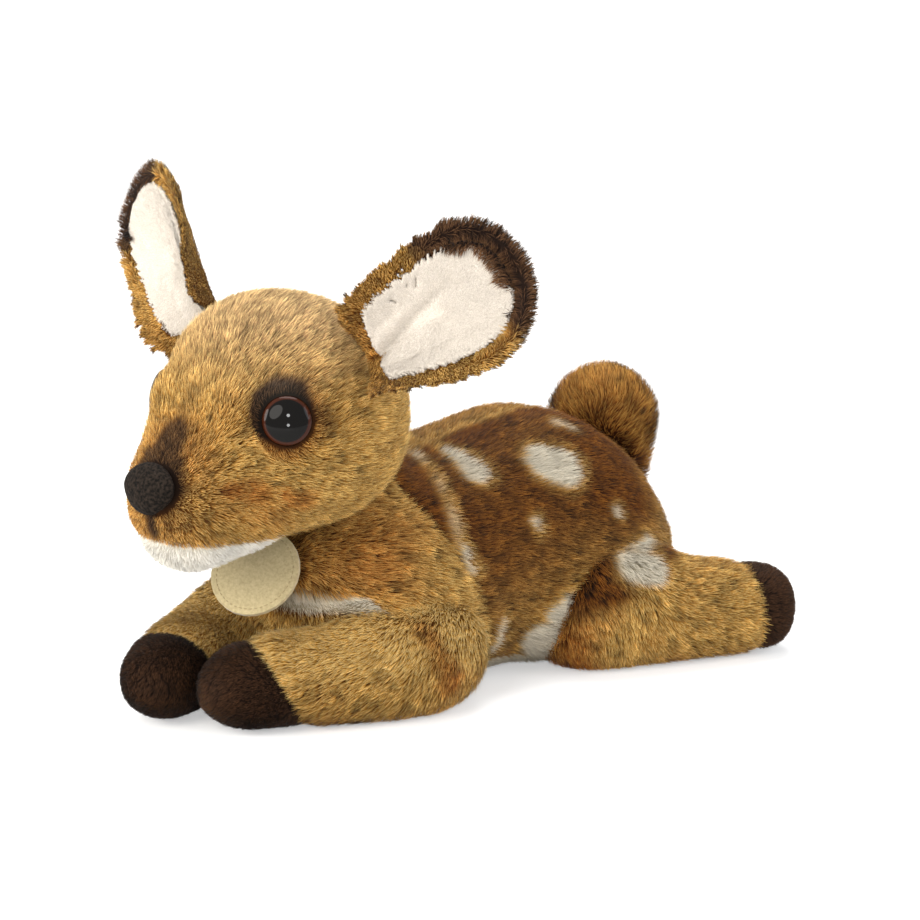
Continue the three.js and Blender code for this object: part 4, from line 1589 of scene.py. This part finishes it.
        # fibres are filed by place, in shelves of 4 mm, so that near ones share a part of the map
        shelf = np.floor(corner[:, 0, 1:] / 4)
        order = np.lexsort((corner[:, 0, 0], shelf[:, 0], shelf[:, 1]))
        count = len(order)
        every = np.arange(count)
        mesh = bpy.data.meshes.new(name)
        mesh.vertices.add(count * FIBRE_POINTS)
        mesh.vertices.foreach_set("co", (corner[order] * MM).astype(np.float32).ravel())
        loops = (every * FIBRE_POINTS)[:, None] + np.array(FIBRE_LOOPS)
        mesh.loops.add(loops.size)
        mesh.loops.foreach_set("vertex_index", loops.astype(np.int32).ravel())
        starts = (every * len(FIBRE_LOOPS))[:, None] + np.array(FIBRE_FACES)
        mesh.polygons.add(starts.size)
        mesh.polygons.foreach_set("loop_start", starts.astype(np.int32).ravel())
        mesh.update(calc_edges=True)
        shade_smooth(mesh)

        # the cells are about twice as tall as wide
        columns = max(int(math.ceil(math.sqrt(2 * count))), 1)
        rows = math.ceil(count / columns)
        cell = np.stack([every % columns, every // columns], axis=1)
        places = (cell[:, None, :] + np.array(FIBRE_CELL)) / np.array([columns, rows])
        layer = mesh.uv_layers.new(name="OFBake")
        layer.uv.foreach_set("vector", places.astype(np.float32).ravel())

        store(mesh, "along", np.tile(FIBRE_ALONG, count))
        for key, value in values.items():
            store(mesh, key, np.repeat(value[order], FIBRE_POINTS))
        spread = np.repeat(nap[order], FIBRE_POINTS, axis=0)
        mesh.normals_split_custom_set_from_vertices(spread.tolist())
        return mesh


# Sub-assemblies


@dataclass
class Torso:
    """The body cover: golden front, spotted saddle and off-white belly."""

    fur_length: float = 5.6
    belly_length: float = 3.6
    belly_lift: Span = (60, 35)
    density: float = 3.9
    # each half of the saddle keeps under the 200,000 faces that an STL file may have
    saddle_density: float = 3.62
    fibre_width: float = 0.25
    spine: tuple[Point, ...] = (
        (0, 0, 91.0), (0, 20, 94.5), (0, 45, 97.0), (0, 70, 97.5), (0, 95, 90.0), (0, 118, 66.0),
    )

    def build(self) -> None:
        """Builds the torso's skin and coat."""
        leg_covers = {(end, side): f"{end}_leg_cover_{side}" for end in End for side in Side}
        form = StuffedForm(
            "torso", "torso", BODY_COVERS, ("body_stuffing", "pellet_bag"), TorsoMarkings(),
            neighbours=("head_cover", "chin_panel", *leg_covers.values(), "tail_cover"),
            seams=(Seam(self.spine, depth=1.4, width=3.0),),
            corners=(
                *(leg_corner(*leg, node) for leg, node in leg_covers.items()),
                tail_corner("tail_cover"),
            ),
            levels=2,
        ).build()
        coat = Coat(form, self._comb)
        plush = Plush("plush_combed_golden", GOLDEN)
        fur = plush.material()
        coat.grow(
            Pile("front_fur", BodyCloth.FRONT, self.fur_length, self.density, self.fibre_width,
                 seed=1), fur)
        for half, seed in ((Side.LEFT, 2), (Side.RIGHT, 8)):
            coat.grow(
                Pile(f"saddle_fur_{half}", BodyCloth.SADDLE, self.fur_length, self.saddle_density,
                     self.fibre_width, half=half, seed=seed), fur)
        coat.grow(
            Pile("belly_pile", BodyCloth.BELLY, self.belly_length, self.density, self.fibre_width,
                 self.belly_lift, seed=3), fur)
        backing = plush.material(backing=True)
        form.dress((backing, "golden_fur"), (backing, "saddle_fur"), (backing, "white_fur"))

    @staticmethod
    def _comb(points: Array, normals: Array) -> Array:
        """The pile lies back along the body and down its sides.

        Args:
            points: Rows of x, y, z.
            normals: The skin's normals there; not used.

        Returns:
            The way that the pile lies at each point.
        """
        side = np.sign(points[:, :1] - MIDDLE)
        way = np.tile([0.0, 1.0, -0.30], (len(points), 1))
        return way + side * np.array([0.15, 0, 0])


@dataclass
class Head:
    """The head cover, its chin panel, eyes and nose."""

    fur_length: float = 5.2
    density: float = 4.4
    fibre_width: float = 0.24
    chin_length: float = 2.8
    chin_density: float = 5.0
    chin_width: float = 0.27
    chin_lift: Span = (60, 35)
    eye_radius: float = 9.2
    # how high the eye's dome rises, how far its rim lies under that, and how deep the eye sits
    dome_height: float = 2.6
    rim_drop: float = 1.2
    sink: float = 1.1
    # the filling's rise between each eye and the bridge
    lid: Point = (24.0, -105.0, 125.0)
    lid_size: float = 10.5
    lid_height: float = 3.6
    socket_depth: float = 0.8
    # the half sizes of the bare patch under the nose
    nose_reach: Point = (13.2, 9.0, 10.0)
    nose_voxel: float = 0.7
    # the middle of each eye's rim and the way that it looks
    eyes: list[tuple[Array, Array]] = field(init=False)
    nose: Array = field(init=False)

    def __post_init__(self) -> None:
        """Finds the eyes and the nose on their CAD nodes."""
        self.eyes = [self._eye_seat(side) for side in Side]
        self.nose = node_middle("nose")

    def build(self) -> None:
        """Builds the head's skin and coat, its eyes and its nose."""
        form = StuffedForm(
            "head", "head", ("head_cover", "chin_panel"), ("head_stuffing",),
            HeadMarkings(self.nose, tuple(middle for middle, _ in self.eyes), self.eye_radius),
            neighbours=(*BODY_COVERS, "ear_back_left", "ear_back_right"),
            seams=(Seam(PARTING, depth=1.5, width=2.6), Seam(BROW, depth=2.2, width=2.8)),
            moves=self._sculpt, voxel=4.0, levels=2,
        ).build()
        coat = Coat(form, self._comb, self._trim)
        plush = Plush("plush_combed_head", GOLDEN, dark=DUSK, pale=WHITE, strand_change=0.42)
        fur = plush.material()
        for half, seed in ((Side.LEFT, 4), (Side.RIGHT, 9)):
            coat.grow(
                Pile(f"head_fur_{half}", HeadCloth.COVER, self.fur_length, self.density,
                     self.fibre_width, half=half, seed=seed), fur)
        coat.grow(
            Pile("chin_pile", HeadCloth.CHIN, self.chin_length, self.chin_density,
                 self.chin_width, self.chin_lift, seed=5), fur)
        backing = plush.material(backing=True)
        form.dress((backing, "golden_fur"), (backing, "white_fur"))
        for side, (middle, axis) in zip(Side, self.eyes):
            self._eye(side, middle, axis)
        self._nose()

    def _eye_seat(self, side: Side) -> tuple[Array, Array]:
        """Finds where an eye sits, from its CAD dome and washer.

        Args:
            side: Which eye it is.

        Returns:
            The middle of its rim in millimetres, and the way that it looks.
        """
        eye = coordinates(frame["nodes"][f"eye_{side}"].data)
        washer = coordinates(frame["nodes"][f"eye_washer_{side}"].data).mean(axis=0)
        axis = unit(eye.mean(axis=0) - washer)
        top = np.max((eye - washer) @ axis)
        return washer + axis * (top - self.dome_height - self.rim_drop - self.sink), axis

    def _sculpt(self, points: Array, normals: Array) -> Array:
        """Presses the eyes' sockets in and raises the cloth beside the bridge.

        Args:
            points: Rows of x, y, z.
            normals: The cloth's normals.

        Returns:
            The moved points.
        """
        moved = points.copy()
        for middle, axis in self.eyes:
            away = np.linalg.norm(points - middle, axis=1)
            moved -= axis * (self.socket_depth * smoothstep(16, 8, away))[:, None]
        away = np.linalg.norm(mirrored(points) - np.array(self.lid), axis=1)
        lid = np.exp(-(away / self.lid_size) ** 2)
        return moved + normals * (self.lid_height * lid)[:, None]

    def _comb(self, points: Array, normals: Array) -> Array:
        """The pile runs back from the nose and turns away from the eyes.

        Args:
            points: Rows of x, y, z.
            normals: The skin's normals there; not used.

        Returns:
            The way that the pile lies at each point.
        """
        way = unit(points - (self.nose + np.array([0, -4.0, 0])))
        way[:, 1] += 0.35
        for middle, _ in self.eyes:
            away = points - middle
            near = smoothstep(20, 9, np.linalg.norm(away, axis=1))[:, None]
            way = way * (1 - 0.8 * near) + unit(away) * 0.8 * near
        return way

    def _trim(self, points: Array) -> Array:
        """The pile is short at the nose and round the eyes, and none grows under them.

        Args:
            points: Rows of x, y, z.

        Returns:
            The share of its length that the pile keeps at each point.
        """
        from_nose = np.linalg.norm((points - self.nose) / np.array(self.nose_reach), axis=1)
        share = 0.45 + 0.55 * smoothstep(1.0, 4.2, from_nose)
        share *= (from_nose > 0.9)
        for middle, axis in self.eyes:
            away = points - middle
            across = np.linalg.norm(away - np.outer(away @ axis, axis), axis=1)
            near = np.linalg.norm(away, axis=1) < 25
            share = np.where(near, share * (0.42 + 0.58 * smoothstep(9.5, 20, across)), share)
            share = np.where(near & (across < self.eye_radius + 0.4), 0, share)
        return share

    def _eye(self, side: Side, middle: Array, axis: Array) -> None:
        """Builds one domed eye.

        Args:
            side: Which eye it is.
            middle: The middle of its rim.
            axis: The way that it looks.
        """
        rings, spokes = 24, 64
        ahead = Vector(axis)
        across = ahead.cross(Vector((0, 0, 1))).normalized()
        up = across.cross(ahead).normalized()
        height = self.dome_height + self.rim_drop
        # the wall under the rim has a small bevel at its foot
        profile = [(self.eye_radius - 0.5, -3.2), (self.eye_radius, -2.8), (self.eye_radius, 0.0)]
        for ring in range(1, rings):
            turn = math.pi / 2 * ring / rings
            profile.append((self.eye_radius * math.cos(turn), height * math.sin(turn)))
        points = []
        for radius, lift in profile:
            for spoke in range(spokes):
                angle = 2 * math.pi * spoke / spokes
                place = across * math.cos(angle) * radius + up * math.sin(angle) * radius
                points.append((Vector(middle) + place + ahead * lift) * MM)
        points.append((Vector(middle) + ahead * height) * MM)
        faces = tube_faces(0, len(profile), spokes)
        last, top = (len(profile) - 1) * spokes, len(points) - 1
        faces += [[last + s, last + (s + 1) % spokes, top] for s in range(spokes)]
        faces.append(list(reversed(range(spokes))))
        gloss = EyeGloss().material(Vector(middle) * MM, self.eye_radius * MM, ahead)
        eye = mesh_object(f"eye_dome_{side}", np.array(points), faces, gloss)
        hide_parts(f"eye_{side}")
        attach(eye, "head")
        log.info("eye_dome_%s: domed eye", side)

    def _nose(self) -> None:
        """Rounds the moulded nose and flocks it."""
        nose = in_scene("nose_button", frame["nodes"]["nose"].data.copy())
        wrap_up(nose, self.nose_voxel, 6)
        shade_smooth(nose.data)
        give_material(nose.data, FLOCK.material())
        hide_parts("nose")
        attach(nose, "head")
        log.info("nose_button: flocked")


@dataclass
class Ear:
    """One cupped ear: a fur leaf with a white leaf in its hollow."""

    side: Side
    # where the dark band starts on the upper and the lower rim, as shares of the ear's length
    band_starts: Span
    # how far the band reaches in over the lining, and over what share of the length it widens
    band_reach: Span
    fur_length: float = 4.6
    fur_density: float = 5.0
    fur_lift: Span = (34, 12)
    lining_length: float = 1.0
    lining_density: float = 8.0
    lining_width: float = 0.3
    lining_lift: Span = (20, 8)
    fringe_share: float = 0.8
    fringe_density: float = 6.0
    fringe_lift: Span = (40, 14)
    fibre_width: float = 0.26
    # the fold's ends, along the ear and up from its middle line
    fold: tuple[Span, Span] = ((5.0, -2.0), (44.0, 9.0))
    fold_depth: float = 2.0
    fold_width: float = 2.3
    marks: EarMarkings = field(init=False)
    centre: Array = field(init=False)
    crease: tuple[Array, ...] = field(init=False)
    leaf: BVHTree = field(init=False)

    def __post_init__(self) -> None:
        """Measures the ear on its CAD nodes."""
        back, lining, joint = f"ear_back_{self.side}", self._lining_node(), f"ear_{self.side}_flop"
        points, root = coordinates(frame["nodes"][back].data), joint_point(joint)
        tip = points[np.argmax(np.linalg.norm(points - root, axis=1))]
        aim = unit(tip - root)
        face = unit(np.cross(unit(joint_row(joint, "axis")), aim))
        length = float(np.linalg.norm(tip - root))
        self.marks = EarMarkings(root, aim, face, length, back, self.band_starts)
        self.centre = coordinates(frame["nodes"][lining].data).mean(axis=0)
        self.crease = tuple(
            root + aim * reach + self.marks.upward * offset for reach, offset in self.fold
        )
        self.leaf = search_tree((lining,))

    def _lining_node(self) -> str:
        """The name of the lining's CAD node."""
        return f"ear_lining_{self.side}"

    def build(self) -> None:
        """Builds the ear's two leaves and their pile."""
        back, lining, body = self.marks.node, self._lining_node(), f"ear_{self.side}"
        plush = Plush(f"plush_combed_ear_{self.side}", GOLDEN, dark=UMBER)
        cover = StuffedForm(
            back + "_form", body, (back,), (), self.marks, neighbours=("head_cover", lining),
            voxel=1.0, levels=0, inset=0.1, swell=0.0, fill=0.2,
        ).build()
        Coat(cover, self._comb, self._trim).grow(
            Pile(f"ear_fur_{self.side}", LimbCloth.COVER, self.fur_length, self.fur_density,
                 self.fibre_width, self.fur_lift, tuft_pull=0.12, swirl=0.15, length_change=0.2,
                 seed=6), plush.material())
        cover.dress((plush.material(backing=True), "golden_fur"))

        # the lining's rust tone is the painted shade along its fold
        velour = Plush(
            f"plush_shorn_lining_{self.side}", CREAM, dark=DUSK, rust=SHADE,
            patch_change=0.03, strand_change=0.05,
        )
        inner = StuffedForm(
            lining + "_form", body, (lining,), (),
            RimMarkings(self.marks, self.centre, *self.band_reach, self.crease),
            moves=self._fold, voxel=0.65, levels=0, inset=-0.6, swell=0.0, fill=0.2,
        ).build()
        Coat(inner, self._inner_comb).grow(
            Pile(f"ear_lining_pile_{self.side}", LimbCloth.COVER, self.lining_length,
                 self.lining_density, self.lining_width, self.lining_lift, tuft_size=2.4,
                 tuft_pull=0.0, swirl=0.12, length_change=0.15, dark_below=0.5, seed=7),
            velour.material())
        fringe = Plush(f"plush_combed_fringe_{self.side}", UMBER, dark=UMBER)
        Coat(inner, self._fringe_comb).grow(
            Pile(f"ear_fringe_{self.side}", LimbCloth.COVER, self.fringe_share * self.fur_length,
                 self.fringe_density, self.fibre_width, self.fringe_lift, tuft_pull=0.12,
                 swirl=0.15, dark_above=0.5, seed=11), fringe.material())
        inner.dress((velour.material(backing=True), "white_fur"))

    def _fold(self, points: Array, normals: Array) -> Array:
        """Presses the lining into a fold that runs from the root outwards.

        Args:
            points: Rows of x, y, z.
            normals: The lining's normals; not used.

        Returns:
            The moved points.
        """
        root, face = self.marks.root, self.marks.face
        flat = points - np.outer((points - root) @ face, face)
        away, share = from_segment(flat, *self.crease)
        depth = self.fold_depth * (1 - 0.5 * share) * np.exp(-(away / self.fold_width) ** 2)
        return points - face * depth[:, None]

    def _comb(self, points: Array, normals: Array) -> Array:
        """The pile runs to the rim, and on the front's inner edge it falls over the lining.

        Args:
            points: Rows of x, y, z.
            normals: The skin's normals there; not used.

        Returns:
            The way that the pile lies at each point.
        """
        found = [self.leaf.find_nearest(p * MM) for p in points]
        away = np.array([f[3] for f in found]) / MM
        inward = unit(np.array([tuple(f[0]) for f in found]) / MM - points)
        front = self.marks.frontness(points) * smoothstep(0.5, 0.66, self.marks.along(points))
        turned = (front * smoothstep(5.5, 2.5, away))[:, None]
        outward = 0.5 * unit(points - self.marks.root) + 0.5 * unit(points - self.centre)
        return outward * (1 - turned) + inward * turned

    def _trim(self, points: Array) -> Array:
        """The pile is longest at the tip."""
        return 0.42 + 0.58 * smoothstep(0.5, 0.85, self.marks.along(points))

    def _fringe_comb(self, points: Array, normals: Array) -> Array:
        """The dark fringe falls inwards over the lining."""
        return 0.3 * unit(points - self.marks.root) - unit(points - self.centre)

    def _inner_comb(self, points: Array, normals: Array) -> Array:
        """The lining's pile runs from its middle to its rim."""
        return 0.4 * unit(points - self.marks.root) + 0.6 * unit(points - self.centre)


@dataclass
class Leg:
    """One leg: a golden cover and a dark hoof on one filling."""

    end: End
    side: Side
    fur_length: float = 5.0
    density: float = 4.2
    fibre_width: float = 0.25
    hoof_length: float = 2.2
    hoof_density: float = 6.0
    hoof_width: float = 0.26
    hoof_lift: Span = (55, 30)
    # the root's pile hangs down over this length
    root_reach: float = 46.0
    aim: Array = field(init=False)

    def __post_init__(self) -> None:
        """Finds the way from the leg's cover to its hoof."""
        cover, hoof = self._covers()
        self.aim = unit(node_middle(hoof) - node_middle(cover))

    def _covers(self) -> tuple[str, str]:
        """The names of the CAD nodes of the leg's cover and hoof."""
        return f"{self.end}_leg_cover_{self.side}", f"{self.end}_hoof_{self.side}"

    def build(self) -> None:
        """Builds the leg's skin and its two piles."""
        body = f"{self.end}_leg_{self.side}"
        form = StuffedForm(
            body + "_form", body, self._covers(), (f"{self.end}_leg_stuffing_{self.side}",),
            LegMarkings(self.end), neighbours=BODY_COVERS,
            corners=(leg_corner(self.end, self.side, *BODY_COVERS),), voxel=3.5, seam_depth=1.6,
        ).build()
        coat = Coat(form, self._comb)
        # a front leg's pale tone is its painted top light, and a rear leg's is its spots' ivory
        pale = IVORY if self.end is End.REAR else PAINTED_TOP_LIGHT
        golden = Plush(f"plush_combed_leg_{self.end}_{self.side}", GOLDEN, pale=pale)
        short = Plush(
            f"plush_shorn_hoof_{self.end}_{self.side}", HOOF, rust=HOOF, pale=HOOF,
            strand_change=0.2,
        )
        coat.grow(
            Pile(f"{body}_fur", LimbCloth.COVER, self.fur_length, self.density, self.fibre_width,
                 seed=8), golden.material())
        coat.grow(
            Pile(f"{body}_hoof_pile", LimbCloth.HOOF, self.hoof_length, self.hoof_density,
                 self.hoof_width, self.hoof_lift, tuft_size=2.2, tuft_pull=0.3, swirl=0.8,
                 seed=9), short.material())
        form.dress(
            (golden.material(backing=True), "leg_fur"), (short.material(backing=True), "hoof_fur"),
        )

    def _comb(self, points: Array, normals: Array) -> Array:
        """The pile runs down the leg to the hoof, and down over its rounded root.

        Args:
            points: Rows of x, y, z.
            normals: The skin's normals there; not used.

        Returns:
            The way that the pile lies at each point.
        """
        reach = (points - joint_point(f"{self.end}_leg_{self.side}_splay")) @ self.aim
        near = smoothstep(self.root_reach, 0, reach)[:, None]
        return self.aim * (1 - 0.6 * near) + np.array([0, 0, -1.0]) * (0.25 + 0.65 * near)


@dataclass
class Tail:
    """The short upright tail."""

    fur_length: float = 6.2
    density: float = 4.2
    fibre_width: float = 0.25
    fur_lift: Span = (60, 35)

    def build(self) -> None:
        """Builds the tail's skin and coat."""
        form = StuffedForm(
            "tail_form", "tail", ("tail_cover",), ("tail_stuffing",), TailMarkings(),
            neighbours=("saddle_cover",), corners=(tail_corner("saddle_cover"),), voxel=3.5,
        ).build()
        plush = Plush("plush_combed_tail", TAWNY)
        Coat(form, self._comb).grow(
            Pile("tail_fur", LimbCloth.COVER, self.fur_length, self.density, self.fibre_width,
                 self.fur_lift, swirl=0.8, seed=10), plush.material())
        form.dress((plush.material(backing=True), "tail_fur"))

    @staticmethod
    def _comb(points: Array, normals: Array) -> Array:
        """The pile runs up to the tail's tip."""
        return np.tile([0.0, 0.2, 1.0], (len(points), 1))


@dataclass
class Tag:
    """The round suede tag with its stitched ring, on its cord."""

    diameter: float = 35.0
    thickness: float = 1.8
    edge_round: float = 0.35
    ring_share: float = 0.87
    stitches: int = 46
    stitch_width: float = 0.42
    # a stitch takes this part of its step, and goes from this depth under the face to this rise
    stitch_part: Span = (0.14, 0.72)
    stitch_depth: float = 0.25
    stitch_rise: float = 0.32
    stitch_rings: int = 7
    stitch_spokes: int = 8

    def build(self) -> None:
        """Dresses the disc, sews its ring and dresses the cord."""
        disc = frame["nodes"]["tag_disc"]
        give_material(disc.data, SUEDE.material())
        edge = disc.modifiers.new("Edge", "BEVEL")
        edge.width, edge.segments, edge.limit_method = self.edge_round * MM, 3, "ANGLE"
        points = coordinates(disc.data)
        # the disc's thinnest way is its normal, taken forwards
        normal = np.linalg.svd(points - points.mean(axis=0), full_matrices=False)[2][2]
        if normal[1] > 0:
            normal = -normal
        thread = THREAD.material()
        for face, name in ((normal, "front"), (-normal, "rear")):
            self._ring(f"tag_stitches_{name}", normal, face, thread)
        give_material(frame["nodes"]["tag_loop"].data, CORD.material())
        log.info("tag_disc: %d stitches on each face", self.stitches)

    def _ring(self, name: str, normal: Array, face: Array, thread: Material) -> None:
        """Sews one face's ring of stitches.

        Args:
            name: The ring's name.
            normal: The way that the disc's front looks.
            face: The way that this face looks.
            thread: The thread's material.
        """
        middle = node_middle("tag_disc")
        across = unit(np.cross([0, 0, 1.0], normal))
        up = np.cross(normal, across)
        radius = self.diameter / 2 * self.ring_share
        step = 2 * math.pi / self.stitches
        points, faces = [], []
        rings, spokes = self.stitch_rings, self.stitch_spokes
        for stitch in range(self.stitches):
            start = len(points)
            for ring in range(rings):
                share = ring / (rings - 1)
                angle = (stitch + self.stitch_part[0] + self.stitch_part[1] * share) * step
                # the thread is thin where it goes into the cloth, and round between
                swell = math.sin(math.pi * min(max(share, 0.04), 0.96)) ** 0.5
                ahead = across * math.cos(angle) + up * math.sin(angle)
                lift = self.thickness / 2 - self.stitch_depth + self.stitch_rise * swell
                spot = middle + ahead * radius + face * lift
                size = self.stitch_width / 2 * (0.25 + 0.75 * swell)
                for spoke in range(spokes):
                    turn = 2 * math.pi * spoke / spokes
                    place = ahead * math.cos(turn) * size + face * math.sin(turn) * size
                    points.append((spot + place) * MM)
            faces += tube_faces(start, rings, spokes)
            faces.append([start + c for c in reversed(range(spokes))])
            faces.append([start + (rings - 1) * spokes + c for c in range(spokes)])
        ring = mesh_object(name, np.array(points), faces, thread)
        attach(ring, "tag")


def dress_washers() -> None:
    """Gives the lock washers inside the head their moulded finish."""
    material = NYLON.material()
    for node in ("eye_washer_left", "eye_washer_right", "nose_washer"):
        give_material(frame["nodes"][node].data, material)
        log.info("%s: moulded nylon", node)


# Studio


@dataclass(frozen=True)
class Softbox:
    """A round soft lamp that looks at the fawn."""

    name: str
    place: Point
    size: float
    power: float
    colour: str
    target: Point = (0, 0, 70)

    def build(self) -> None:
        """Hangs the lamp."""
        light = bpy.data.lights.new(self.name, "AREA")
        light.shape, light.size, light.energy = "DISK", self.size * MM, self.power
        light.color = linear(self.colour)[:3]
        lamp = in_scene(self.name, light)
        lamp.location = Vector(self.place) * MM
        view = Vector(self.target) - Vector(self.place)
        lamp.rotation_euler = view.to_track_quat("-Z", "Y").to_euler()


@dataclass
class Studio:
    """Pale floor and backdrop, soft lamps and the camera."""

    # both are measured from the fawn's middle plane
    camera_place: Point = (966.48, -939.19, 384.02)
    camera_target: Point = (0.0, 27.29, 81.0)
    lens: float = 139.04
    sensor: float = 36.0
    floor_size: float = 6000.0
    # how brightly the backdrop lights the fawn, where 1 is the white that is seen
    glow: float = 0.45
    # the lamps light the middle of the floor, and its glow takes over between these distances
    glow_reach: Span = (500, 1800)
    softboxes: tuple[Softbox, ...] = (
        Softbox("key_softbox", (350, -1400, 950), 1000, 13.0, "#fffaf2"),
        Softbox("fill_softbox", (1250, 650, 750), 1000, 8.0, "#f7faff"),
        Softbox("front_softbox", (-750, -1400, 620), 900, 19.0, "#fffdf8"),
        Softbox("top_softbox", (-250, 250, 1300), 1000, 13.0, "#ffffff"),
        Softbox("upper_dish", (1136, -1080, 732), 180, 3.0, "#ffffff"),
        Softbox("lower_dish", (1223, -1162, 217), 160, 2.2, "#ffffff"),
    )

    def build(self) -> None:
        """Builds the camera, lamps, floor and world."""
        camera = in_scene("camera", bpy.data.cameras.new("camera"))
        camera.location = (Vector(self.camera_place) + Vector((MIDDLE, 0, 0))) * MM
        view = Vector(self.camera_target) - Vector(self.camera_place)
        camera.rotation_euler = view.to_track_quat("-Z", "Y").to_euler()
        camera.data.lens, camera.data.sensor_width = self.lens, self.sensor
        bpy.context.scene.camera = camera
        for softbox in self.softboxes:
            softbox.build()
        self._floor()
        self._world()
        bpy.context.scene.view_settings.view_transform = "Standard"

    @staticmethod
    def _seen(tree: NodeTree) -> Node:
        """Adds the nodes that tell whether the backdrop is seen, itself or in gloss or glass.

        Args:
            tree: The node tree of the floor or the world.

        Returns:
            The node whose value is 1 where it is seen.
        """
        rays = add_node(tree, "ShaderNodeLightPath")
        seen = (rays, "Is Camera Ray")
        for kind in ("Is Glossy Ray", "Is Transmission Ray"):
            either = add_node(
                tree, "ShaderNodeMath", {"operation": "MAXIMUM"},
                {"Value": seen, "Value_001": (rays, kind)},
            )
            seen = (either, "Value")
        return either

    def _floor(self) -> None:
        """Lays the pale floor, which shows the shadow on white."""
        material, tree = new_material("paper_matt_floor")
        place = add_node(tree, "ShaderNodeTexCoord")
        reach = add_node(
            tree, "ShaderNodeVectorMath", {"operation": "LENGTH"}, {"Vector": (place, "Object")},
        )
        near, far = self.glow_reach
        rising = add_node(
            tree, "ShaderNodeMapRange", None,
            {"Value": (reach, "Value"), "From Min": near * MM, "From Max": far * MM,
             "To Min": self.glow, "To Max": 1.0},
        )
        strength = add_node(
            tree, "ShaderNodeMath", {"operation": "MULTIPLY"},
            {"Value": (self._seen(tree), "Value"), "Value_001": (rising, "Result")},
        )
        paper = add_node(tree, "ShaderNodeBsdfDiffuse", None, {"Color": linear("#e8e8e8")})
        glow = add_node(
            tree, "ShaderNodeEmission", None,
            {"Color": linear("#ffffff"), "Strength": (strength, "Value")},
        )
        both = add_node(
            tree, "ShaderNodeAddShader", None,
            {"Shader": (paper, "BSDF"), "Shader_001": (glow, "Emission")},
        )
        add_node(tree, "ShaderNodeOutputMaterial", None, {"Surface": (both, "Shader")})
        half = self.floor_size / 2 * MM
        corners = np.array([(-half, -half, 0), (half, -half, 0), (half, half, 0), (-half, half, 0)])
        floor = mesh_object("floor", corners, [[0, 1, 2, 3]], material)

    def _world(self) -> None:
        """Makes the world white where it is seen, and a plain soft grey where it lights."""
        world = bpy.data.worlds.new("studio")
        bpy.context.scene.world = world
        world.use_nodes = True
        tree = world.node_tree
        tree.nodes.clear()
        strength = add_node(
            tree, "ShaderNodeMapRange", None,
            {"Value": (self._seen(tree), "Value"), "To Min": self.glow, "To Max": 1.0},
        )
        sky = add_node(
            tree, "ShaderNodeBackground", None,
            {"Color": linear("#ffffff"), "Strength": (strength, "Result")},
        )
        add_node(tree, "ShaderNodeOutputWorld", None, {"Surface": (sky, "Background")})


def main() -> None:
    """Builds the fawn and its studio."""
    logging.basicConfig(level=logging.INFO, format="%(name)s %(message)s")
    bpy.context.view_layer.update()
    Studio().build()
    Torso().build()
    Head().build()
    for ear in (
        Ear(Side.LEFT, band_starts=(0.50, 0.80), band_reach=(10.0, 0.2)),
        Ear(Side.RIGHT, band_starts=(0.84, 0.76), band_reach=(6.0, 0.3)),
    ):
        ear.build()
        for end in End:
            Leg(end, ear.side).build()
    Tail().build()
    Tag().build()
    dress_washers()


if __name__ == "__main__":
    main()
